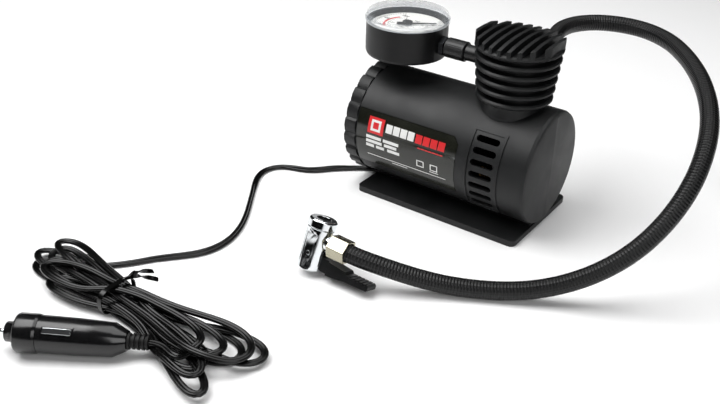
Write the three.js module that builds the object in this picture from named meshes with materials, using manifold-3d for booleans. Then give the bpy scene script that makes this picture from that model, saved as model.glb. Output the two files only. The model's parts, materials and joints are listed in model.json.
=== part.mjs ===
// A portable tire inflator: a round motor housing on a flat base, a ribbed compressor head, a pressure
// gauge on a side stem, a braided hose with a thumb-lock chuck, and a flat cord with a car power plug.
// Millimetres, +Z up, X along the housing toward the head. The origin is the centre of the base's underside.
import * as THREE from "three";
import { mergeVertices } from "three/addons/utils/BufferGeometryUtils.js";
import Module from "manifold-3d";

const wasm = await Module();
wasm.setup();

// Clearances
const gap = 0.3;
const slideGap = 0.3;
const seatGap = 0.36;

// Housing and base
const bodyRadius = 37.5;
const bodyLength = 134.4;
const bodyWall = 2.2;
const bodyEdge = 2.6;
const bodyOverhang = 2.1;
const baseLength = 120.7;
const baseWidth = 76;
const baseThickness = 4.1;
const baseCorner = 4;
const pedestalWidth = 28;
const capDepth = 9;
const scallopCount = 22;
const scallopRise = 1.0;

// Compressor head
const headX = 31.3;
const neckRadius = 20;
const neckWall = 2.6;
const ringRadius = 27.4;
const ringCount = 6;
const ringPitch = 6.36;
const ringThickness = 3.1;
const ringShrink = 0.63;
const grooveDepth = 5;
const headRise = 38.64;
const finCount = 9;
const finPitch = 6.1;
const finThickness = 2.4;
const finRise = 5.9;
const finArc = 125;
const portRise = 23.94;
const portRadius = 5.2;

// Gauge
const gaugeX = -49.9;
const gaugeRadius = 27.1;
const gaugeDepth = 21.9;
const gaugeWall = 2.2;
const gaugeDrop = 10.6;
const lensLip = 0.7;
const lensHeight = 5.4;
const lensWall = 1.8;
const pointerReach = 19;
const pointerTail = 7;
const pointerZeroDeg = 36;
const nutRadius = 6.5;
const nutLength = 14.7;
const hexFlats = 11.6;
const hexLength = 3.3;

// Motor and gears
const motorRadius = 17.9;
const motorShare = 0.3977;
const motorDrop = 15.1;
const motorWall = 1.3;
const shaftRadius = 1.6;
const toothModule = 1;
const pinionTeeth = 10;
const gearTeeth = 40;
const gearWidth = 6;
const gearLeft = 15;
const meshGap = 0.2;
const crankThrow = 6;

// Piston and cylinder
const boreRadius = 9.3;
const pistonHeight = 14.6;
const sleeveWall = 2.8;
const sleeveTopRise = 16.9;
const flangeDrop = 6.16;
const headBlockRadius = 15;
const headBlockHeight = 14;
const wristDrop = 8.6;
const crankPinRadius = 2;
const wristPinRadius = 1.5;

// Hose, chuck and cord
const hoseRadius = 5.45;
const chuckRadius = 8.3;
const chuckMouth = 12.8;
const chuckFoot = 18.7;
const chuckBore = 4.3;
const leverPinDrop = 8.3;
const leverReach = 43;
const cordRadius = 1.35;
const cordLane = -7;
const hankHeight = 12.4;

// Car plug
const plugRadius = 10.45;
const plugRear = 9;
const plugLength = 55;
const plugBore = 7;
const fuseRadius = 2.5;
const fuseLength = 20;

// Places that follow from the sizes
const bodyAxis = baseThickness + bodyRadius - 0.04;
const bodyTop = bodyAxis + bodyRadius;
const bodyRight = baseLength / 2 + bodyOverhang;
const bodyLeft = bodyRight - bodyLength;
const shellLeft = bodyLeft + capDepth;
const innerRadius = bodyRadius - bodyWall;
const portHeight = bodyTop + portRise;
const ringTop = bodyTop + headRise;
const gaugeBottom = portHeight - gaugeDrop;
const lensRadius = gaugeRadius + lensLip;
const motorAxis = bodyAxis - motorDrop;
const gearCentre = (toothModule * (pinionTeeth + gearTeeth)) / 2 + meshGap;
const gearAxis = motorAxis + gearCentre;
const plateRight = gearLeft - 5;
const plateLeft = plateRight - 3.6;
const motorRight = plateLeft - gap;
const motorLength = baseLength * motorShare;
const motorLeft = motorRight - motorLength;
const sleeveTop = bodyTop + sleeveTopRise;
const flangeBottom = bodyTop - flangeDrop;
const pistonTop = sleeveTop - 1.2;
const wristHeight = pistonTop - wristDrop;
const crankHeight = gearAxis + crankThrow;
const rodLength = wristHeight - crankHeight;
const gearRight = gearLeft + gearWidth;
const headBore = neckRadius - neckWall;
const holeRadius = headBore - 0.1;

const root = new THREE.Group();
root.name = "portable_tire_inflator";

// Solid modelling helpers

function solidOf(geometry) {
  const bare = geometry.index ? geometry.toNonIndexed() : geometry.clone();
  bare.deleteAttribute("normal");
  bare.deleteAttribute("uv");
  const merged = mergeVertices(bare, 1e-4);
  const position = merged.attributes.position.array;
  const corners = merged.index.array;
  const kept = [];
  let sixVolumes = 0;
  for (let i = 0; i < corners.length; i += 3) {
    const [a, b, c] = [corners[i], corners[i + 1], corners[i + 2]];
    if (a === b || b === c || c === a) continue;
    kept.push(a, b, c);
    const va = new THREE.Vector3().fromArray(position, 3 * a);
    const vb = new THREE.Vector3().fromArray(position, 3 * b);
    const vc = new THREE.Vector3().fromArray(position, 3 * c);
    sixVolumes += va.dot(vb.cross(vc));
  }
  if (sixVolumes < 0) {
    for (let i = 0; i < kept.length; i += 3) {
      [kept[i + 1], kept[i + 2]] = [kept[i + 2], kept[i + 1]];
    }
  }
  return new wasm.Manifold(
    new wasm.Mesh({
      numProp: 3,
      vertProperties: new Float32Array(position),
      triVerts: Uint32Array.from(kept),
    }),
  );
}

function geometryOf(solid) {
  const mesh = solid.getMesh();
  const places = new Float32Array(mesh.numVert * 3);
  for (let i = 0; i < mesh.numVert; i++) {
    places.set(mesh.vertProperties.subarray(i * mesh.numProp, i * mesh.numProp + 3), i * 3);
  }
  const geometry = new THREE.BufferGeometry();
  geometry.setAttribute("position", new THREE.BufferAttribute(places, 3));
  geometry.setIndex(new THREE.BufferAttribute(mesh.triVerts, 1));
  const flat = geometry.toNonIndexed();
  flat.computeVertexNormals();
  return flat;
}

function place(geometry, x, y, z) {
  return geometry.translate(x, y, z);
}

function box(x0, x1, y0, y1, z0, z1) {
  const geometry = new THREE.BoxGeometry(x1 - x0, y1 - y0, z1 - z0);
  return solidOf(place(geometry, (x0 + x1) / 2, (y0 + y1) / 2, (z0 + z1) / 2));
}

// A cylinder along one axis, from one end to the other.
function rodX(x0, x1, y, z, radius, segments = 18) {
  const geometry = new THREE.CylinderGeometry(radius, radius, x1 - x0, segments).rotateZ(-Math.PI / 2);
  return solidOf(place(geometry, (x0 + x1) / 2, y, z));
}

function rodY(y0, y1, x, z, radius, segments = 24) {
  const geometry = new THREE.CylinderGeometry(radius, radius, y1 - y0, segments);
  return solidOf(place(geometry, x, (y0 + y1) / 2, z));
}

function rodZ(z0, z1, x, y, radius, segments = 24) {
  const geometry = new THREE.CylinderGeometry(radius, radius, z1 - z0, segments).rotateX(Math.PI / 2);
  return solidOf(place(geometry, x, y, (z0 + z1) / 2));
}

// A turned solid: pairs of radius and height, revolved round a vertical line.
function turned(profile, x, y, segments = 48) {
  const points = profile.map(([r, z]) => new THREE.Vector2(r, z));
  const geometry = new THREE.LatheGeometry(points, segments).rotateX(Math.PI / 2);
  return solidOf(place(geometry, x, y, 0));
}

// The same, revolved round a line along X: pairs of radius and distance.
function turnedX(profile, y, z, segments = 32) {
  const points = profile.map(([r, x]) => new THREE.Vector2(r, x));
  const geometry = new THREE.LatheGeometry(points, segments).rotateZ(-Math.PI / 2);
  return solidOf(place(geometry, 0, y, z));
}

function closed(profile) {
  return [...profile, profile[0]];
}

function outline(points) {
  return new THREE.Shape(points.map(([x, y]) => new THREE.Vector2(x, y)));
}

function plate(shape, z0, z1, segments = 8) {
  const settings = { depth: z1 - z0, bevelEnabled: false, curveSegments: segments };
  return solidOf(place(new THREE.ExtrudeGeometry(shape, settings), 0, 0, z0));
}

// An outline drawn in (y, z) and given a thickness along X.
function plateX(shape, x0, x1, segments = 8) {
  const settings = { depth: x1 - x0, bevelEnabled: false, curveSegments: segments };
  const geometry = new THREE.ExtrudeGeometry(shape, settings);
  const axes = new THREE.Matrix4().makeBasis(
    new THREE.Vector3(0, 1, 0),
    new THREE.Vector3(0, 0, 1),
    new THREE.Vector3(1, 0, 0),
  );
  return solidOf(place(geometry.applyMatrix4(axes), x0, 0, 0));
}

function roundedRectangle(width, height, radius) {
  const shape = new THREE.Shape();
  const [x, y] = [width / 2, height / 2];
  shape.moveTo(-x + radius, -y);
  shape.lineTo(x - radius, -y);
  shape.absarc(x - radius, -y + radius, radius, -Math.PI / 2, 0);
  shape.lineTo(x, y - radius);
  shape.absarc(x - radius, y - radius, radius, 0, Math.PI / 2);
  shape.lineTo(-x + radius, y);
  shape.absarc(-x + radius, y - radius, radius, Math.PI / 2, Math.PI);
  shape.lineTo(-x, -y + radius);
  shape.absarc(-x + radius, -y + radius, radius, Math.PI, 1.5 * Math.PI);
  return shape;
}

// A piece of the housing's wall between two radii, two ends and two angles above the horizontal, on the front.
function wrapped(x0, x1, low, high, inner, outer, steps = 12) {
  const points = [];
  for (let i = 0; i <= steps; i++) {
    const angle = THREE.MathUtils.degToRad(low + ((high - low) * i) / steps);
    points.push([-outer * Math.cos(angle), bodyAxis + outer * Math.sin(angle)]);
  }
  for (let i = steps; i >= 0; i--) {
    const angle = THREE.MathUtils.degToRad(low + ((high - low) * i) / steps);
    points.push([-inner * Math.cos(angle), bodyAxis + inner * Math.sin(angle)]);
  }
  return plateX(outline(points), x0, x1);
}

function joined(solids) {
  return solids.reduce((sum, solid) => sum.add(solid));
}

function cut(solid, tools) {
  return tools.reduce((rest, tool) => rest.subtract(tool), solid);
}

function add(name, solid, color, roughness, metalness, frame) {
  const geometry = geometryOf(solid);
  if (frame) geometry.applyMatrix4(frame);
  const material = new THREE.MeshStandardMaterial({ color, roughness, metalness });
  const mesh = new THREE.Mesh(geometry, material);
  mesh.name = name;
  root.add(mesh);
}

const satinBlack = [0x1b1c1e, 0.5, 0];
const glossBlack = [0x0c0c0d, 0.2, 0];
const rubberBlack = [0x141414, 0.75, 0];
const chrome = [0xd5d8da, 0.12, 1];
const steel = [0xa5a8aa, 0.35, 1];
const brass = [0xb08a4a, 0.3, 1];
const castAlloy = [0x9a9c9e, 0.45, 1];

// Housing

const ventX = [20.1, 43.7];
const ventAngle = 46;
const ventFrame = 2;
const slotX = [24, 40.1];
const slotHeight = 4.2;
const slotAngles = [36, 24, 12, 0, -12, -24, -36];
const labelX = [-62.1, 13.6];
const labelAngles = [-31, 30];
const labelCorner = [4.6, 6.7];
const labelThickness = 0.3;
const labelRecess = 0.42;
const shellScrewX = [shellLeft + 18.95, bodyRight - 12.45];
const shellScrewHeight = bodyAxis + 6.44;
const switchX = -20;
const switchAngle = 30;

function housing() {
  const [r, x0, x1] = [bodyRadius, shellLeft, bodyRight];
  const inner = innerRadius;
  const outside = [
    [0, x0],
    [r, x0],
    [r, x1 - bodyEdge],
    [r - bodyEdge * 0.3, x1 - bodyEdge * 0.3],
    [r - bodyEdge, x1],
    [0, x1],
  ];
  const inside = [
    [0, x0 - 1],
    [inner, x0 - 1],
    [inner, x1 - bodyWall - 1],
    [inner - 1, x1 - bodyWall],
    [0, x1 - bodyWall],
  ];
  const pedestalEnd = baseLength / 2 - 1;
  const pedestal = box(-pedestalEnd, pedestalEnd, -pedestalWidth / 2, pedestalWidth / 2, baseThickness, bodyAxis - inner - 0.6);
  let shell = turnedX(outside, 0, bodyAxis, 60).add(pedestal);
  shell = shell.subtract(turnedX(inside, 0, bodyAxis, 28));
  shell = shell.subtract(box(x0 - 40, x1 + 40, -60, 60, -10, baseThickness + gap));
  shell = shell.subtract(box(x0 - 40, x0, -60, 60, -10, bodyAxis));
  return shell.subtract(rodZ(bodyAxis, bodyTop + 10, headX, 0, holeRadius, 32));
}

function obround(x0, x1, angle, from, to) {
  const shape = roundedRectangle(x1 - x0, slotHeight, slotHeight / 2 - 0.01);
  const settings = { depth: to - from, bevelEnabled: false, curveSegments: 3 };
  const geometry = new THREE.ExtrudeGeometry(shape, settings);
  geometry.translate((x0 + x1) / 2, 0, from);
  geometry.rotateX(Math.PI / 2 - THREE.MathUtils.degToRad(angle));
  return solidOf(place(geometry, 0, 0, bodyAxis));
}

function labelSolid(x0, x1, low, high, inner, outer, corner) {
  const sheet = wrapped(x0, x1, low, high, inner, outer, 12);
  const [dx, dAngle] = corner;
  const angle = THREE.MathUtils.degToRad(high);
  const chamferHeight = bodyAxis + bodyRadius * Math.sin(angle);
  const drop = bodyRadius * Math.sin(angle) - bodyRadius * Math.sin(THREE.MathUtils.degToRad(high - dAngle));
  const wedge = new THREE.Shape([
    new THREE.Vector2(x1 - dx, chamferHeight + 0.6),
    new THREE.Vector2(x1 + 1, chamferHeight - drop - 1),
    new THREE.Vector2(x1 + 1, chamferHeight + 4),
    new THREE.Vector2(x1 - dx, chamferHeight + 4),
  ]);
  const settings = { depth: bodyRadius * 2, bevelEnabled: false };
  const geometry = new THREE.ExtrudeGeometry(wedge, settings).rotateX(Math.PI / 2);
  return sheet.subtract(solidOf(geometry));
}

// Screw bosses stand in the pedestal, where the base screws bite, two in each half.
const baseScrewX = baseLength / 2 - 9.35;
const baseScrewPlaces = [
  [-baseScrewX, -9.5],
  [baseScrewX, -9.5],
  [-baseScrewX, 9.5],
  [baseScrewX, 9.5],
];
const baseScrewRadius = 1.4;
const bossRadius = 3.6;

function boss(x, y) {
  const top = bodyAxis - innerRadius + 7;
  return rodZ(baseThickness + gap, top, x, y, bossRadius, 20);
}

function frontShell() {
  let shell = housing().subtract(box(-200, 200, gap / 2, 100, -10, 200));
  const [v0, v1] = ventX;
  const frame = wrapped(v0, v1, -ventAngle, ventAngle, bodyRadius - 0.5, bodyRadius + 0.7, 14);
  const field = wrapped(v0 + ventFrame, v1 - ventFrame, -ventAngle + 3, ventAngle - 3, bodyRadius, bodyRadius + 2, 14);
  shell = shell.add(frame.subtract(field));
  shell = cut(shell, slotAngles.map((angle) => obround(slotX[0], slotX[1], angle, innerRadius - 4, bodyRadius + 4)));
  const [l0, l1] = labelX;
  const [low, high] = labelAngles;
  const recess = labelSolid(l0 - gap, l1 + gap, low - 0.5, high + 0.5, bodyRadius - labelRecess, bodyRadius + 3, labelCorner);
  shell = shell.subtract(recess);
  const places = baseScrewPlaces.filter(([, y]) => y < 0);
  shell = joined([shell, ...places.map(([x, y]) => boss(x, y))]);
  shell = cut(shell, places.map(([x, y]) => rodZ(0, baseThickness + 8, x, y, baseScrewRadius + gap, 12)));
  for (const x of shellScrewX) {
    const post = rodY(-innerRadius + 0.5, -gap, x, shellScrewHeight, bossRadius, 20);
    const pilot = rodY(-8, 1, x, shellScrewHeight, baseScrewRadius + gap, 12);
    shell = shell.add(post).subtract(pilot);
  }
  return shell;
}

function switchFrame(lift) {
  const angle = THREE.MathUtils.degToRad(switchAngle);
  const turn = new THREE.Matrix4().makeRotationX(-(Math.PI / 2 - angle));
  const move = new THREE.Matrix4().makeTranslation(
    switchX,
    (bodyRadius + lift) * Math.cos(angle),
    bodyAxis + (bodyRadius + lift) * Math.sin(angle),
  );
  return move.multiply(turn);
}

const switchLength = 21;
const switchWidth = 15;
const bezelWall = 2.2;
const switchPivotDrop = 2;

function rearShell() {
  let shell = housing().subtract(box(-200, 200, -100, gap / 2, -10, 200));
  const bezelShape = roundedRectangle(switchLength + 2 * bezelWall, switchWidth + 2 * bezelWall, 2);
  const bezel = solidOf(
    new THREE.ExtrudeGeometry(bezelShape, { depth: 4.4, bevelEnabled: false, curveSegments: 4 })
      .translate(0, 0, -3)
      .applyMatrix4(switchFrame(0)),
  );
  const window = solidOf(
    new THREE.BoxGeometry(switchLength + 2 * gap, switchWidth + 2 * gap, 40).applyMatrix4(switchFrame(0)),
  );
  shell = shell.add(bezel).subtract(window);
  const places = baseScrewPlaces.filter(([, y]) => y > 0);
  shell = joined([shell, ...places.map(([x, y]) => boss(x, y))]);
  shell = cut(shell, places.map(([x, y]) => rodZ(0, baseThickness + 8, x, y, baseScrewRadius + gap, 12)));
  for (const x of shellScrewX) {
    const post = rodY(2 * gap, innerRadius - 0.5, x, shellScrewHeight, bossRadius, 20);
    const shank = rodY(-1, bodyRadius + 2, x, shellScrewHeight, baseScrewRadius + gap, 12);
    const head = rodY(8, bodyRadius + 2, x, shellScrewHeight, 2.9, 20);
    shell = shell.add(post).subtract(shank).subtract(head);
  }
  return shell;
}

function screwAlong(axis, from, to, headHeight, a, b, headRadius = 2.6) {
  const make = axis === "y" ? rodY : rodZ;
  const inward = Math.sign(to - from);
  const neck = from + inward * headHeight;
  const span = (p, q) => [Math.min(p, q), Math.max(p, q)];
  const head = make(...span(from, neck), a, b, headRadius, 14);
  const shank = make(...span(neck - inward * 0.1, to), a, b, baseScrewRadius, 8);
  const cross = axis === "y"
    ? joined([
        box(a - 1.6, a + 1.6, ...span(from - inward, from + inward * 0.9), b - 0.35, b + 0.35),
        box(a - 0.35, a + 0.35, ...span(from - inward, from + inward * 0.9), b - 1.6, b + 1.6),
      ])
    : joined([
        box(a - 1.6, a + 1.6, b - 0.35, b + 0.35, ...span(from - inward, from + inward * 0.9)),
        box(a - 0.35, a + 0.35, b - 1.6, b + 1.6, ...span(from - inward, from + inward * 0.9)),
      ]);
  return head.add(shank).subtract(cross);
}

function endCap() {
  const outer = bodyRadius + scallopRise;
  const points = [];
  for (let i = 0; i < scallopCount; i++) {
    const start = (2 * Math.PI * i) / scallopCount;
    const step = (2 * Math.PI) / scallopCount;
    for (const [share, radius] of [
      [0, outer - 1.5],
      [0.15, outer - 0.1],
      [0.55, outer],
      [0.92, outer - 1],
    ]) {
      const angle = start + step * share;
      points.push([radius * Math.cos(angle), bodyAxis + radius * Math.sin(angle)]);
    }
  }
  const right = shellLeft - gap;
  let cap = plateX(outline(points), bodyLeft, right);
  const dish = [
    [0, bodyLeft - 1],
    [bodyRadius - 4, bodyLeft - 1],
    [bodyRadius - 6, bodyLeft + 2.5],
    [0, bodyLeft + 2.5],
  ];
  const bowl = [
    [0, right + 1],
    [innerRadius - 1, right + 1],
    [innerRadius - 1, bodyLeft + 5],
    [0, bodyLeft + 5],
  ];
  const lip = closed([
    [innerRadius - gap - 1.6, right - 1],
    [innerRadius - gap, right - 1],
    [innerRadius - gap, right + 4],
    [innerRadius - gap - 1.6, right + 4],
  ]);
  cap = cap.subtract(turnedX(dish, 0, bodyAxis, 32)).subtract(turnedX(bowl, 0, bodyAxis, 32));
  return cap.add(turnedX(lip, 0, bodyAxis, 32));
}

const notchWidth = 6.6;
const notchDepth = 5;

function basePlate() {
  let base = plate(roundedRectangle(baseLength, baseWidth, baseCorner), 0, baseThickness, 3);
  const edge = -baseLength / 2;
  const [n0, n1] = [cordLane - notchWidth / 2, cordLane + notchWidth / 2];
  base = base.subtract(box(edge - 1, edge + notchDepth, n0, n1, -1, baseThickness + 1));
  for (const [x, y] of baseScrewPlaces) {
    base = base.subtract(rodZ(-1, baseThickness + 1, x, y, baseScrewRadius + gap, 12));
    base = base.subtract(rodZ(-1, 2.4, x, y, 2.9, 16));
  }
  return base;
}

function cordGrommet() {
  const edge = -baseLength / 2;
  const half = notchWidth / 2 - gap;
  const block = box(edge + 0.2, edge + notchDepth - gap, cordLane - half, cordLane + half, 0.1, baseThickness - 0.1);
  const lane = rodX(edge - 1, edge + notchDepth - 1.2, cordLane, baseThickness / 2, cordRadius + 0.25, 12);
  return block.subtract(lane);
}

function rockerSwitch() {
  const half = switchLength / 2;
  const points = [
    [-half, 3.6],
    [0, 1.7],
    [half, 2.3],
    [half, -3],
    [4, -6.5],
    [-4, -6.5],
    [-half, -3],
  ];
  const settings = { depth: switchWidth, bevelEnabled: false };
  const geometry = new THREE.ExtrudeGeometry(outline(points), settings);
  geometry.translate(0, 0, -switchWidth / 2).rotateX(Math.PI / 2);
  const swing = rodY(-switchWidth, switchWidth, 0, -switchPivotDrop, half, 32);
  return solidOf(geometry).intersect(swing);
}

// Compressor head

function headCover() {
  const profile = [[headBore, bodyAxis]];
  profile.push([neckRadius + 0.8, bodyAxis]);
  profile.push([neckRadius + 0.8, bodyTop - 4]);
  profile.push([neckRadius, bodyTop - 1]);
  const lowestTop = ringTop - ringPitch * (ringCount - 1);
  profile.push([neckRadius, lowestTop - ringThickness]);
  for (let i = ringCount - 1; i >= 0; i--) {
    const top = ringTop - ringPitch * i;
    const radius = ringRadius - ringShrink * i;
    profile.push([radius - 1, top - ringThickness]);
    profile.push([radius, top - ringThickness + 1]);
    profile.push([radius, top - 1]);
    profile.push([radius - 1, top]);
    if (i > 0) profile.push([radius - grooveDepth, top]);
    if (i > 0) profile.push([radius - grooveDepth, top + ringPitch - ringThickness]);
  }
  const roof = ringTop - 3.4;
  profile.push([0, ringTop]);
  profile.push([0, roof]);
  profile.push([headBore, roof]);
  let cover = turned(closed(profile), headX, 0, 32);
  const half = ((finCount - 1) / 2) * finPitch;
  const ridge = ringTop + finRise;
  const arch = new THREE.Shape();
  arch.moveTo(-40, ringTop - 1);
  arch.lineTo(40, ringTop - 1);
  for (let i = 0; i <= 6; i++) {
    const y = 28.2 - 9.4 * i;
    arch.lineTo(y, ridge - finArc + Math.sqrt(finArc * finArc - y * y));
  }
  const fins = [];
  for (let i = 0; i < finCount; i++) {
    const x = headX - half + i * finPitch;
    fins.push(plateX(arch, x - finThickness / 2, x + finThickness / 2));
  }
  const disc = rodZ(ringTop - 1, ridge + 1, headX, 0, ringRadius - 0.1, 32);
  cover = cover.add(joined(fins).intersect(disc));
  const rest = rodX(-200, 200, 0, bodyAxis, bodyRadius + gap, 60);
  cover = cover.subtract(rest);
  cover = cover.subtract(box(-200, 200, -60, 60, -10, bodyAxis + bodyRadius * 0.6));
  cover = cover.subtract(rodX(headX - 40, headX, 0, portHeight, portRadius + gap, 24));
  return cover.subtract(rodY(0, 40, headX, portHeight, portRadius + gap, 24));
}

function cylinderSleeve() {
  const outer = boreRadius + sleeveWall;
  const profile = closed([
    [boreRadius, flangeBottom],
    [headBore - 1, flangeBottom],
    [headBore - 1, flangeBottom + 2.5],
    [outer, flangeBottom + 2.5],
    [outer, sleeveTop - 6],
    [outer + 1.6, sleeveTop - 6],
    [outer + 1.6, sleeveTop],
    [boreRadius, sleeveTop],
  ]);
  return turned(profile, headX, 0, 22);
}

const valveRadius = 4;
const valveTravel = 1.2;
const springRadius = 2.6;
const springWire = 0.35;
const springTurns = 4;
const chamberRadius = 5;

function cylinderHead() {
  const bottom = sleeveTop + gap;
  const top = bottom + headBlockHeight;
  const seat = bottom + 3;
  let block = rodZ(bottom, top, headX, 0, headBlockRadius, 22);
  block = block.subtract(rodZ(bottom - 1, seat + 1, headX, 0, 1.6, 16));
  block = block.subtract(rodZ(seat, top - 1.6, headX, 0, chamberRadius, 16));
  block = block.subtract(rodZ(top - 3, top + 1, headX, 0, 1.2, 12));
  block = block.subtract(rodX(headX - headBlockRadius - 1, headX, 0, portHeight, 3.3, 20));
  return block.subtract(rodY(0, headBlockRadius + 1, headX, portHeight, 3.3, 20));
}

function outletValve() {
  const seat = sleeveTop + gap + 3;
  return rodZ(seat + gap, seat + gap + 1.4, headX, 0, valveRadius, 24);
}

// A coil spring as one swept wire, by turns, radius and wire.
function coil(radius, wire, turns, z0, z1) {
  const points = [];
  const steps = turns * 6;
  for (let i = 0; i <= steps; i++) {
    const angle = (2 * Math.PI * i) / 6;
    points.push(new THREE.Vector3(radius * Math.cos(angle), radius * Math.sin(angle), z0 + ((z1 - z0) * i) / steps));
  }
  const section = new THREE.Shape();
  section.absarc(0, 0, wire, 0, 2 * Math.PI);
  const path = new THREE.CatmullRomCurve3(points);
  const settings = { steps, curveSegments: 3, bevelEnabled: false, extrudePath: path };
  return new THREE.ExtrudeGeometry(section, settings);
}

function valveSpring() {
  const low = sleeveTop + 2 * gap + 3 + 1.4 + gap + springWire;
  const high = sleeveTop + gap + headBlockHeight - 1.6 - gap - springWire;
  return solidOf(place(coil(springRadius, springWire, springTurns, low, high), headX, 0, 0));
}

function piston() {
  const bottom = pistonTop - pistonHeight;
  const radius = boreRadius - slideGap;
  let crown = turned(
    [
      [0, pistonTop - 4.2],
      [radius - 2.5, pistonTop - 4.2],
      [radius - 2.5, bottom],
      [radius, bottom],
      [radius, pistonTop - 3.3],
      [radius - 1.7, pistonTop - 3.3],
      [radius - 1.7, pistonTop - 1.3],
      [radius, pistonTop - 1.3],
      [radius, pistonTop],
      [0, pistonTop],
    ],
    headX,
    0,
    20,
  );
  return crown.subtract(rodX(headX - 12, headX + 12, 0, wristHeight, wristPinRadius + gap, 12));
}

function pistonRing() {
  const radius = boreRadius - slideGap;
  const profile = closed([
    [radius - 1.4, pistonTop - 3],
    [radius + 0.05, pistonTop - 3],
    [radius + 0.05, pistonTop - 1.6],
    [radius - 1.4, pistonTop - 1.6],
  ]);
  const ring = turned(profile, headX, 0, 20);
  return ring.subtract(box(headX - 0.5, headX + 0.5, -12, 0, pistonTop - 5, pistonTop));
}

const rodHalf = 2.2;

function connectingRod() {
  const [x0, x1] = [headX - rodHalf, headX + rodHalf];
  const bigEye = rodX(x0, x1, 0, crankHeight, crankPinRadius + 2.3, 16);
  const smallEye = rodX(x0, x1, 0, wristHeight, wristPinRadius + 2, 16);
  const beam = plateX(
    outline([
      [-2.4, crankHeight + 2],
      [2.4, crankHeight + 2],
      [1.9, wristHeight - 2],
      [-1.9, wristHeight - 2],
    ]),
    x0 + 0.5,
    x1 - 0.5,
  );
  let rod = joined([bigEye, smallEye, beam]);
  rod = rod.subtract(rodX(x0 - 1, x1 + 1, 0, crankHeight, crankPinRadius + gap, 12));
  return rod.subtract(rodX(x0 - 1, x1 + 1, 0, wristHeight, wristPinRadius + gap, 12));
}

function crankPin() {
  const pin = rodX(gearRight + gap, headX + rodHalf + gap + 0.5, 0, crankHeight, crankPinRadius, 12);
  const head = rodX(headX + rodHalf + gap, headX + rodHalf + gap + 1.2, 0, crankHeight, crankPinRadius + 1, 12);
  return pin.add(head);
}

// Gears: involute flanks above the base circle, radial below it.
const pressureAngle = THREE.MathUtils.degToRad(20);
const toothShare = 0.86;

function toothHalfAngle(teeth, radius) {
  const pitchRadius = (toothModule * teeth) / 2;
  const base = pitchRadius * Math.cos(pressureAngle);
  const involute = (angle) => Math.tan(angle) - angle;
  const angle = radius > base ? Math.acos(base / radius) : 0;
  return (toothShare * Math.PI) / (2 * teeth) + involute(pressureAngle) - involute(angle);
}

function gearOutline(teeth, firstAngle) {
  const pitchRadius = (toothModule * teeth) / 2;
  const tip = pitchRadius + 0.85 * toothModule;
  const rootRadius = pitchRadius - 1.25 * toothModule;
  const radii = [rootRadius, tip];
  const points = [];
  for (let i = 0; i < teeth; i++) {
    const centre = firstAngle + (2 * Math.PI * i) / teeth;
    for (const radius of radii) {
      points.push([radius, centre - toothHalfAngle(teeth, radius)]);
    }
    for (const radius of [...radii].reverse()) {
      points.push([radius, centre + toothHalfAngle(teeth, radius)]);
    }
  }
  return points.map(([radius, angle]) => [radius * Math.cos(angle), radius * Math.sin(angle)]);
}

const hubRadius = 5;
const axleRadius = 2;

function driveGear() {
  const shape = outline(gearOutline(gearTeeth, -Math.PI / 2 + Math.PI / gearTeeth));
  let gear = plateX(shape, gearLeft, gearRight);
  gear = gear.add(rodX(gearLeft - 3, gearLeft + 1, 0, 0, hubRadius, 24));
  const pitchRadius = (toothModule * gearTeeth) / 2;
  for (let i = 0; i < 4; i++) {
    const angle = Math.PI / 4 + (i * Math.PI) / 2;
    const reach = pitchRadius * 0.6;
    const hole = rodX(gearLeft - 1, gearRight + 1, reach * Math.cos(angle), reach * Math.sin(angle), pitchRadius * 0.18, 16);
    gear = gear.subtract(hole);
  }
  gear = gear.subtract(rodX(gearLeft - 4, gearRight - 1.2, 0, 0, axleRadius + gap, 20));
  return gear.translate([0, 0, gearAxis]);
}

function gearAxle() {
  return rodX(plateLeft + 0.3, gearRight - 1.5, 0, gearAxis, axleRadius, 20);
}

function pinion() {
  const shape = outline(gearOutline(pinionTeeth, Math.PI / 2));
  let gear = plateX(shape, gearLeft - 0.5, gearRight + 0.5);
  gear = gear.subtract(rodX(gearLeft - 2, gearRight + 2, 0, 0, shaftRadius + 0.2, 16));
  return gear.translate([0, 0, motorAxis]);
}

const armWidth = 2.3;

function gearboxFrame() {
  const low = motorAxis - motorRadius + 1;
  const top = flangeBottom - gap;
  const arm = headBore - 1.2;
  let frame = box(plateLeft, plateRight, -arm, arm, low + 6, top);
  frame = frame.add(rodX(plateLeft, plateRight, 0, motorAxis, motorRadius, 22));
  for (const side of [-1, 1]) {
    const [y0, y1] = side < 0 ? [-arm, -arm + armWidth] : [arm - armWidth, arm];
    frame = frame.add(box(plateLeft + 0.5, headX + 7, y0, y1, top - 5, top));
  }
  frame = frame.subtract(rodX(plateLeft - 1, plateRight + 1, 0, motorAxis, 6.2, 24));
  frame = frame.subtract(rodX(plateLeft - 1, plateRight + 1, 0, gearAxis, axleRadius + gap, 20));
  return frame;
}

function motorCan() {
  const profile = closed([
    [6.4, motorRight - motorWall],
    [motorRadius - motorWall, motorRight - motorWall],
    [motorRadius - motorWall, motorLeft],
    [motorRadius, motorLeft],
    [motorRadius, motorRight - 1],
    [motorRadius - 1, motorRight],
    [6.4, motorRight],
  ]);
  return turnedX(profile, 0, motorAxis, 22);
}

function motorEndBell() {
  const inner = motorRadius - motorWall - gap;
  const profile = closed([
    [shaftRadius + gap, motorLeft - 4],
    [5.5, motorLeft - 4],
    [5.5, motorLeft - 1.8],
    [motorRadius - 0.4, motorLeft - 1.8],
    [motorRadius - 0.4, motorLeft - gap],
    [inner, motorLeft - gap],
    [inner, motorLeft + 3],
    [shaftRadius + gap, motorLeft + 3],
  ]);
  return turnedX(profile, 0, motorAxis, 22);
}

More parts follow.
